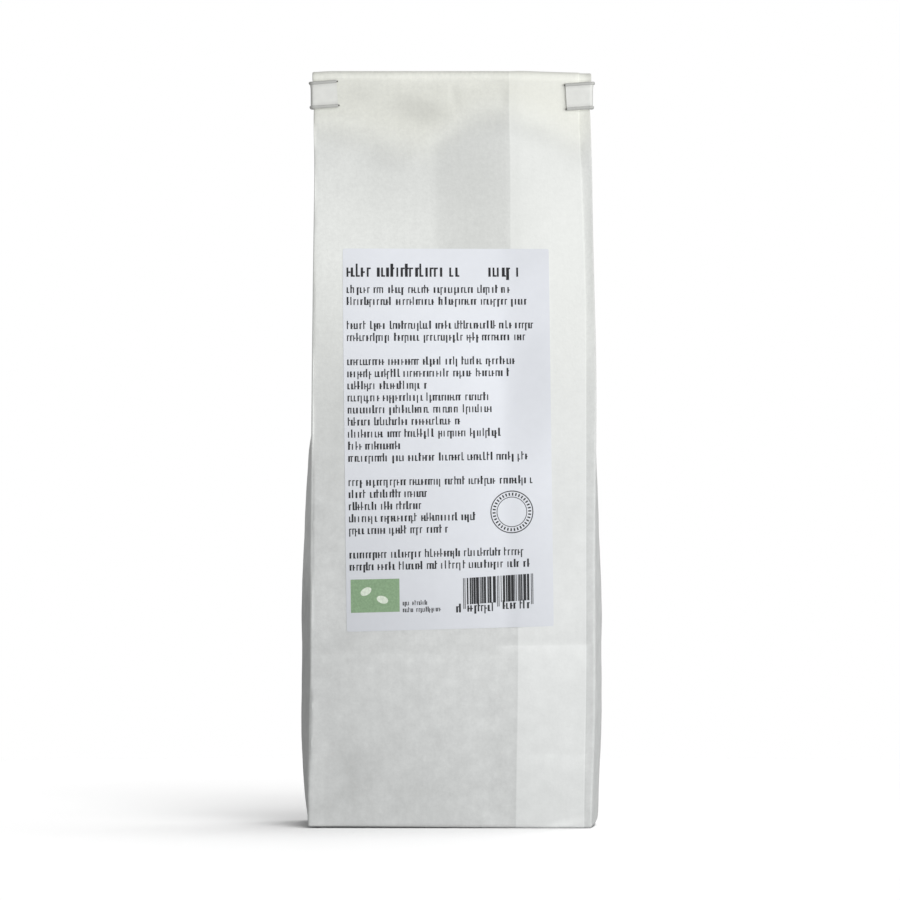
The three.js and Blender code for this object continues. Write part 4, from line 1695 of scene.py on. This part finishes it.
@dataclass(frozen=True)
class TieFilm(Finish):
    """White polyethylene film laid over paper, drawn round two wires.

    That gives the eye a satin white, faintly rippled, that is grey where it is drawn thin over a wire.
    Painted shade darkens it further along the wires, in the bends and at the ears' cut ends.
    """

    name: str = "polyethylene_tie_film"
    colour: str = "#E1E2DE"
    shaded_tone: float = 0.66
    ripple_mm: float = 0.9
    blotch_mm: float = 3.0

    def skin(self, add: AddNode, place: NodeSocket) -> Inputs:
        """Works out the shader's inputs, as in Finish."""
        blotches = add(NOISE, grain(place, self.blotch_mm))
        ripples = add(NOISE, grain(place, self.ripple_mm))
        # Darker along the wires, in the bends and at the cut ends: the wires partly show through, the rest
        # is painted shade
        strain = add(ATTRIBUTE, attribute_name="strain").outputs["Fac"]
        thin = add(RANGE, ramp(strain, 0.0, 1.0, 1.0, self.shaded_tone))
        blotchy = add(RANGE, spread(blotches, 0.96, 1.03))
        tone = add(MATH, {0: blotchy, 1: thin}, **TIMES)
        return {
            "Base Color": add(TINT, {"Value": tone, "Color": linear(self.colour)}),
            "Roughness": 0.42,
            "IOR": 1.5,
            "Normal": add(BUMP, {"Strength": 0.35, "Distance": 0.08 * MM, "Height": ripples}),
        }


@dataclass(frozen=True)
class DrawnWire(Finish):
    """Annealed steel tie wire, which gives the eye a dull dark grey with a faint scale."""

    name: str = "annealed_steel_wire"
    colour: str = "#6B6A66"
    scale_mm: float = 0.5

    def skin(self, add: AddNode, place: NodeSocket) -> Inputs:
        """Works out the shader's inputs, as in Finish."""
        scale = add(NOISE, grain(place, self.scale_mm, 3.0))
        tone = add(RANGE, spread(scale, 0.8, 1.15))
        return {
            "Base Color": add(TINT, {"Value": tone, "Color": linear(self.colour)}),
            "Metallic": 1.0,
            "Roughness": add(RANGE, spread(scale, 0.45, 0.6)),
        }


@dataclass(frozen=True)
class SeedCoat(Finish):
    """Dry seed coat of mung beans, which gives the eye an olive green with a satin shine.

    Some seeds are browner, and each is painted darker round its rim, as shade between the seeds.
    """

    name: str = "mung_bean_seed_coat"
    green: str = "#66702C"
    brown: str = "#7A6A35"
    seed_mm: float = 10.0

    def skin(self, add: AddNode, place: NodeSocket) -> Inputs:
        """Works out the shader's inputs, as in Finish."""
        seeds = add("ShaderNodeTexVoronoi", grain(place, self.seed_mm, 0.0))
        pick = add("ShaderNodeSeparateColor", {0: seeds.outputs["Color"]})
        browner = add(RANGE, ramp(pick, 0.7, 0.95))
        hue = {0: browner, 6: linear(self.green), 7: linear(self.brown)}
        hue = add(MIX, hue, data_type="RGBA").outputs[2]
        # Painted shade: each seed darker round its rim
        rim = add(RANGE, ramp(seeds, 0.0, 0.7, 1.1, 0.75))
        return {"Base Color": add(TINT, {"Value": rim, "Color": hue}), "Roughness": 0.4, "IOR": 1.48}


@dataclass(frozen=True)
class MattBoard(Finish):
    """Matt white board, which gives the eye an even tone with no shine."""

    shader: ClassVar[str] = "ShaderNodeBsdfDiffuse"
    white: Quad = (1.0, 1.0, 1.0, 1.0)
    grain_mm: float = 2.5

    def skin(self, add: AddNode, place: NodeSocket) -> Inputs:
        """Works out the shader's inputs, as in Finish."""
        pulp = add(NOISE, grain(place, self.grain_mm))
        even = add(RANGE, spread(pulp, 0.998, 1.002))
        return {"Color": add(TINT, {"Value": even, "Color": self.white})}


# ---------------------------------------------------------------- studio


class LampKind(Enum):
    """The studio's kinds of lamp, by Blender's names for them."""

    SOFTBOX = "AREA"
    FAR = "SUN"  # so far off that it lights the whole table evenly


@dataclass(frozen=True)
class Lamp:
    """A lamp on a stand, set by its bearing and height as seen from the bag."""

    name: str
    bearing: float  # degrees to the right of the labelled face's normal
    rise: float  # degrees over the table
    size: float  # a softbox's side in metres, or degrees across, which both soften its shadow
    power: float
    kind: LampKind = LampKind.SOFTBOX
    distance: float = 1.6

    def add(self, aim: Vector) -> Object:
        """Adds the lamp.

        Args:
            aim: the point that it looks at or shines past.

        Returns:
            The lamp.
        """
        toward = heading(self.bearing, self.rise)
        deselect()
        bpy.ops.object.light_add(type=self.kind.value)
        lamp = bpy.context.object
        lamp.name = self.name
        lamp.data.energy = self.power
        if self.kind is LampKind.SOFTBOX:
            lamp.location = toward * self.distance
            toward = lamp.location - aim
            lamp.data.shape = "SQUARE"
            lamp.data.size = self.size
            lamp.visible_camera = False
        else:
            lamp.location = aim + toward
            lamp.data.angle = math.radians(self.size)
        lamp.rotation_euler = toward.to_track_quat("Z", "Y").to_euler()
        return lamp


@dataclass
class Studio:
    """A pale table, softboxes and the camera, in metres."""

    camera_distance: float = 3.0
    camera_bearing: float = 0.4
    camera_rise: float = 0.1
    camera_target: Triple = (-0.00115, 0.0, 0.1341)
    focal_mm: float = 334.7
    sensor_mm: float = 36.0
    table_radius: float = 0.62
    table_level: float = -0.00005
    bounce_level: float = -0.0004
    bounce_white: str = "#E7E7E7"
    ambient: float = 0.24
    product_lights: tuple[Lamp, ...] = (
        Lamp("front_softbox", 0, 31, 1.2, 5.0),
        Lamp("high_softbox", 35, 36, 1.2, 2.4),
        Lamp("wide_softbox", 35, 7, 0.8, 9.4),
        Lamp("side_softbox", 60, 17, 0.8, 6.9),
        Lamp("rear_softbox", 180, 35, 1.2, 4.2),
    )
    table_lamps: tuple[Lamp, ...] = (
        Lamp("table_key", 15, 40, 24, 0.93, LampKind.FAR),
        Lamp("table_second_key", 30, 60, 24, 0.66, LampKind.FAR),
        Lamp("table_side", 90, 68, 50, 0.50, LampKind.FAR),
        Lamp("table_side_rear", 135, 60, 24, 0.29, LampKind.FAR),
        Lamp("table_high_rear", 150, 70, 24, 0.33, LampKind.FAR),
        Lamp("table_rear", 165, 50, 24, 0.34, LampKind.FAR),
    )

    def add_camera(self) -> None:
        """Adds a long lens, nearly level and nearly straight on."""
        deselect()
        bpy.ops.object.camera_add()
        camera = bpy.context.object
        camera.name = "camera"
        away = heading(self.camera_bearing, self.camera_rise)
        camera.location = Vector(self.camera_target) + away * self.camera_distance
        camera.rotation_euler = away.to_track_quat("Z", "Y").to_euler()
        camera.data.lens = self.focal_mm
        camera.data.sensor_width = self.sensor_mm
        camera.data.clip_end = 50.0
        bpy.context.scene.camera = camera

    def add_table(self, name: str, level: float, white: Quad) -> Object:
        """Adds a round table top of matt white board.

        Args:
            name: its name.
            level: its height in metres.
            white: its linear colour.

        Returns:
            The table top.
        """
        deselect()
        bpy.ops.mesh.primitive_circle_add(
            vertices=96, radius=self.table_radius, fill_type="NGON", location=(0, 0, level)
        )
        table = bpy.context.object
        table.name = name
        dress(table, MattBoard(f"{name}_matt_board", white=white).make())
        return table

    def add_world(self) -> None:
        """Lights everything evenly and weakly, and shows plain white behind the bag."""
        world = bpy.data.worlds.new("white_room")
        bpy.context.scene.world = world
        world.use_nodes = True
        world.node_tree.nodes.clear()
        dim, bright = (
            add_node(world, "ShaderNodeBackground", {"Color": (1.0, 1.0, 1.0, 1.0), "Strength": strength})
            for strength in (self.ambient, 1.0)
        )
        seen = add_node(world, "ShaderNodeLightPath").outputs["Is Camera Ray"]
        mix = add_node(world, "ShaderNodeMixShader", {0: seen, 1: dim, 2: bright})
        add_node(world, "ShaderNodeOutputWorld", {0: mix})

    def build(self) -> None:
        """Sets up the whole studio.

        The table that the camera sees takes no light from the product lights, and the table's own lamps
        shine on nothing else, as if the two were flagged off from each other. A second table under it
        throws the product lights back on to the bag.
        """
        self.add_camera()
        self.add_world()
        aim = Vector((0, 0, CAD_BOX[1].z / 2))
        shown = self.add_table("table", self.table_level, (1.0, 1.0, 1.0, 1.0))
        shown.visible_diffuse = shown.visible_glossy = shown.visible_shadow = False
        bounce = self.add_table("bounce_board", self.bounce_level, linear(self.bounce_white))
        bounce.visible_camera = False
        for lights, state in ((self.product_lights, "EXCLUDE"), (self.table_lamps, "INCLUDE")):
            group = bpy.data.collections.new(f"table_{state.lower()}d")
            group.objects.link(shown)
            group.collection_objects[0].light_linking.link_state = state
            for light in lights:
                light.add(aim).light_linking.receiver_collection = group
        bpy.context.scene.view_settings.view_transform = "Standard"


# ---------------------------------------------------------------- assembly


def settle(piece: Object, slot: str, *nodes: str) -> None:
    """Makes a finished piece ride on the bag in place of its CAD nodes.

    Args:
        piece: the finished piece.
        slot: the record's material slot; not used.
        nodes: the CAD nodes that it stands for.
    """
    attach(piece, ROOT)
    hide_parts(*nodes)
    report(piece)


def main() -> None:
    """Builds the studio and every piece in order."""
    logging.basicConfig(level=logging.INFO, format="%(message)s")
    Studio().build()

    form = BagForm()
    bag = PaperBag(form)
    sheet = bag.build()
    dress(sheet, BleachedPaper(bag=bag).make())
    settle(sheet, "bag_paper", "paper_bag")

    tie = TinTie(form)
    strip = tie.strip()
    dress(strip, TieFilm().make())
    settle(strip, "tie_film", "tie_strip")
    steel = DrawnWire().make()
    for name, node, up in (
        ("wire_upper", "tie_wire_upper", tie.wire_up),
        ("wire_lower", "tie_wire_lower", -tie.wire_up),
    ):
        wire = tie.wire(name, up)
        dress(wire, steel)
        settle(wire, "tie_wire", node)

    black = PrintersInk("black_label_ink", "#15171C").make()
    green = PrintersInk("green_label_ink", "#89A783").make()
    pale = PrintersInk("pale_label_ink", "#DCE6D6").make()
    label = FaceLabel(bag).build(LabelStock().make(), black, green, pale)
    settle(label, "label_paper", "label")

    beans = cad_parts["mung_beans"]
    dress(beans, SeedCoat().make())


if __name__ == "__main__":
    main()
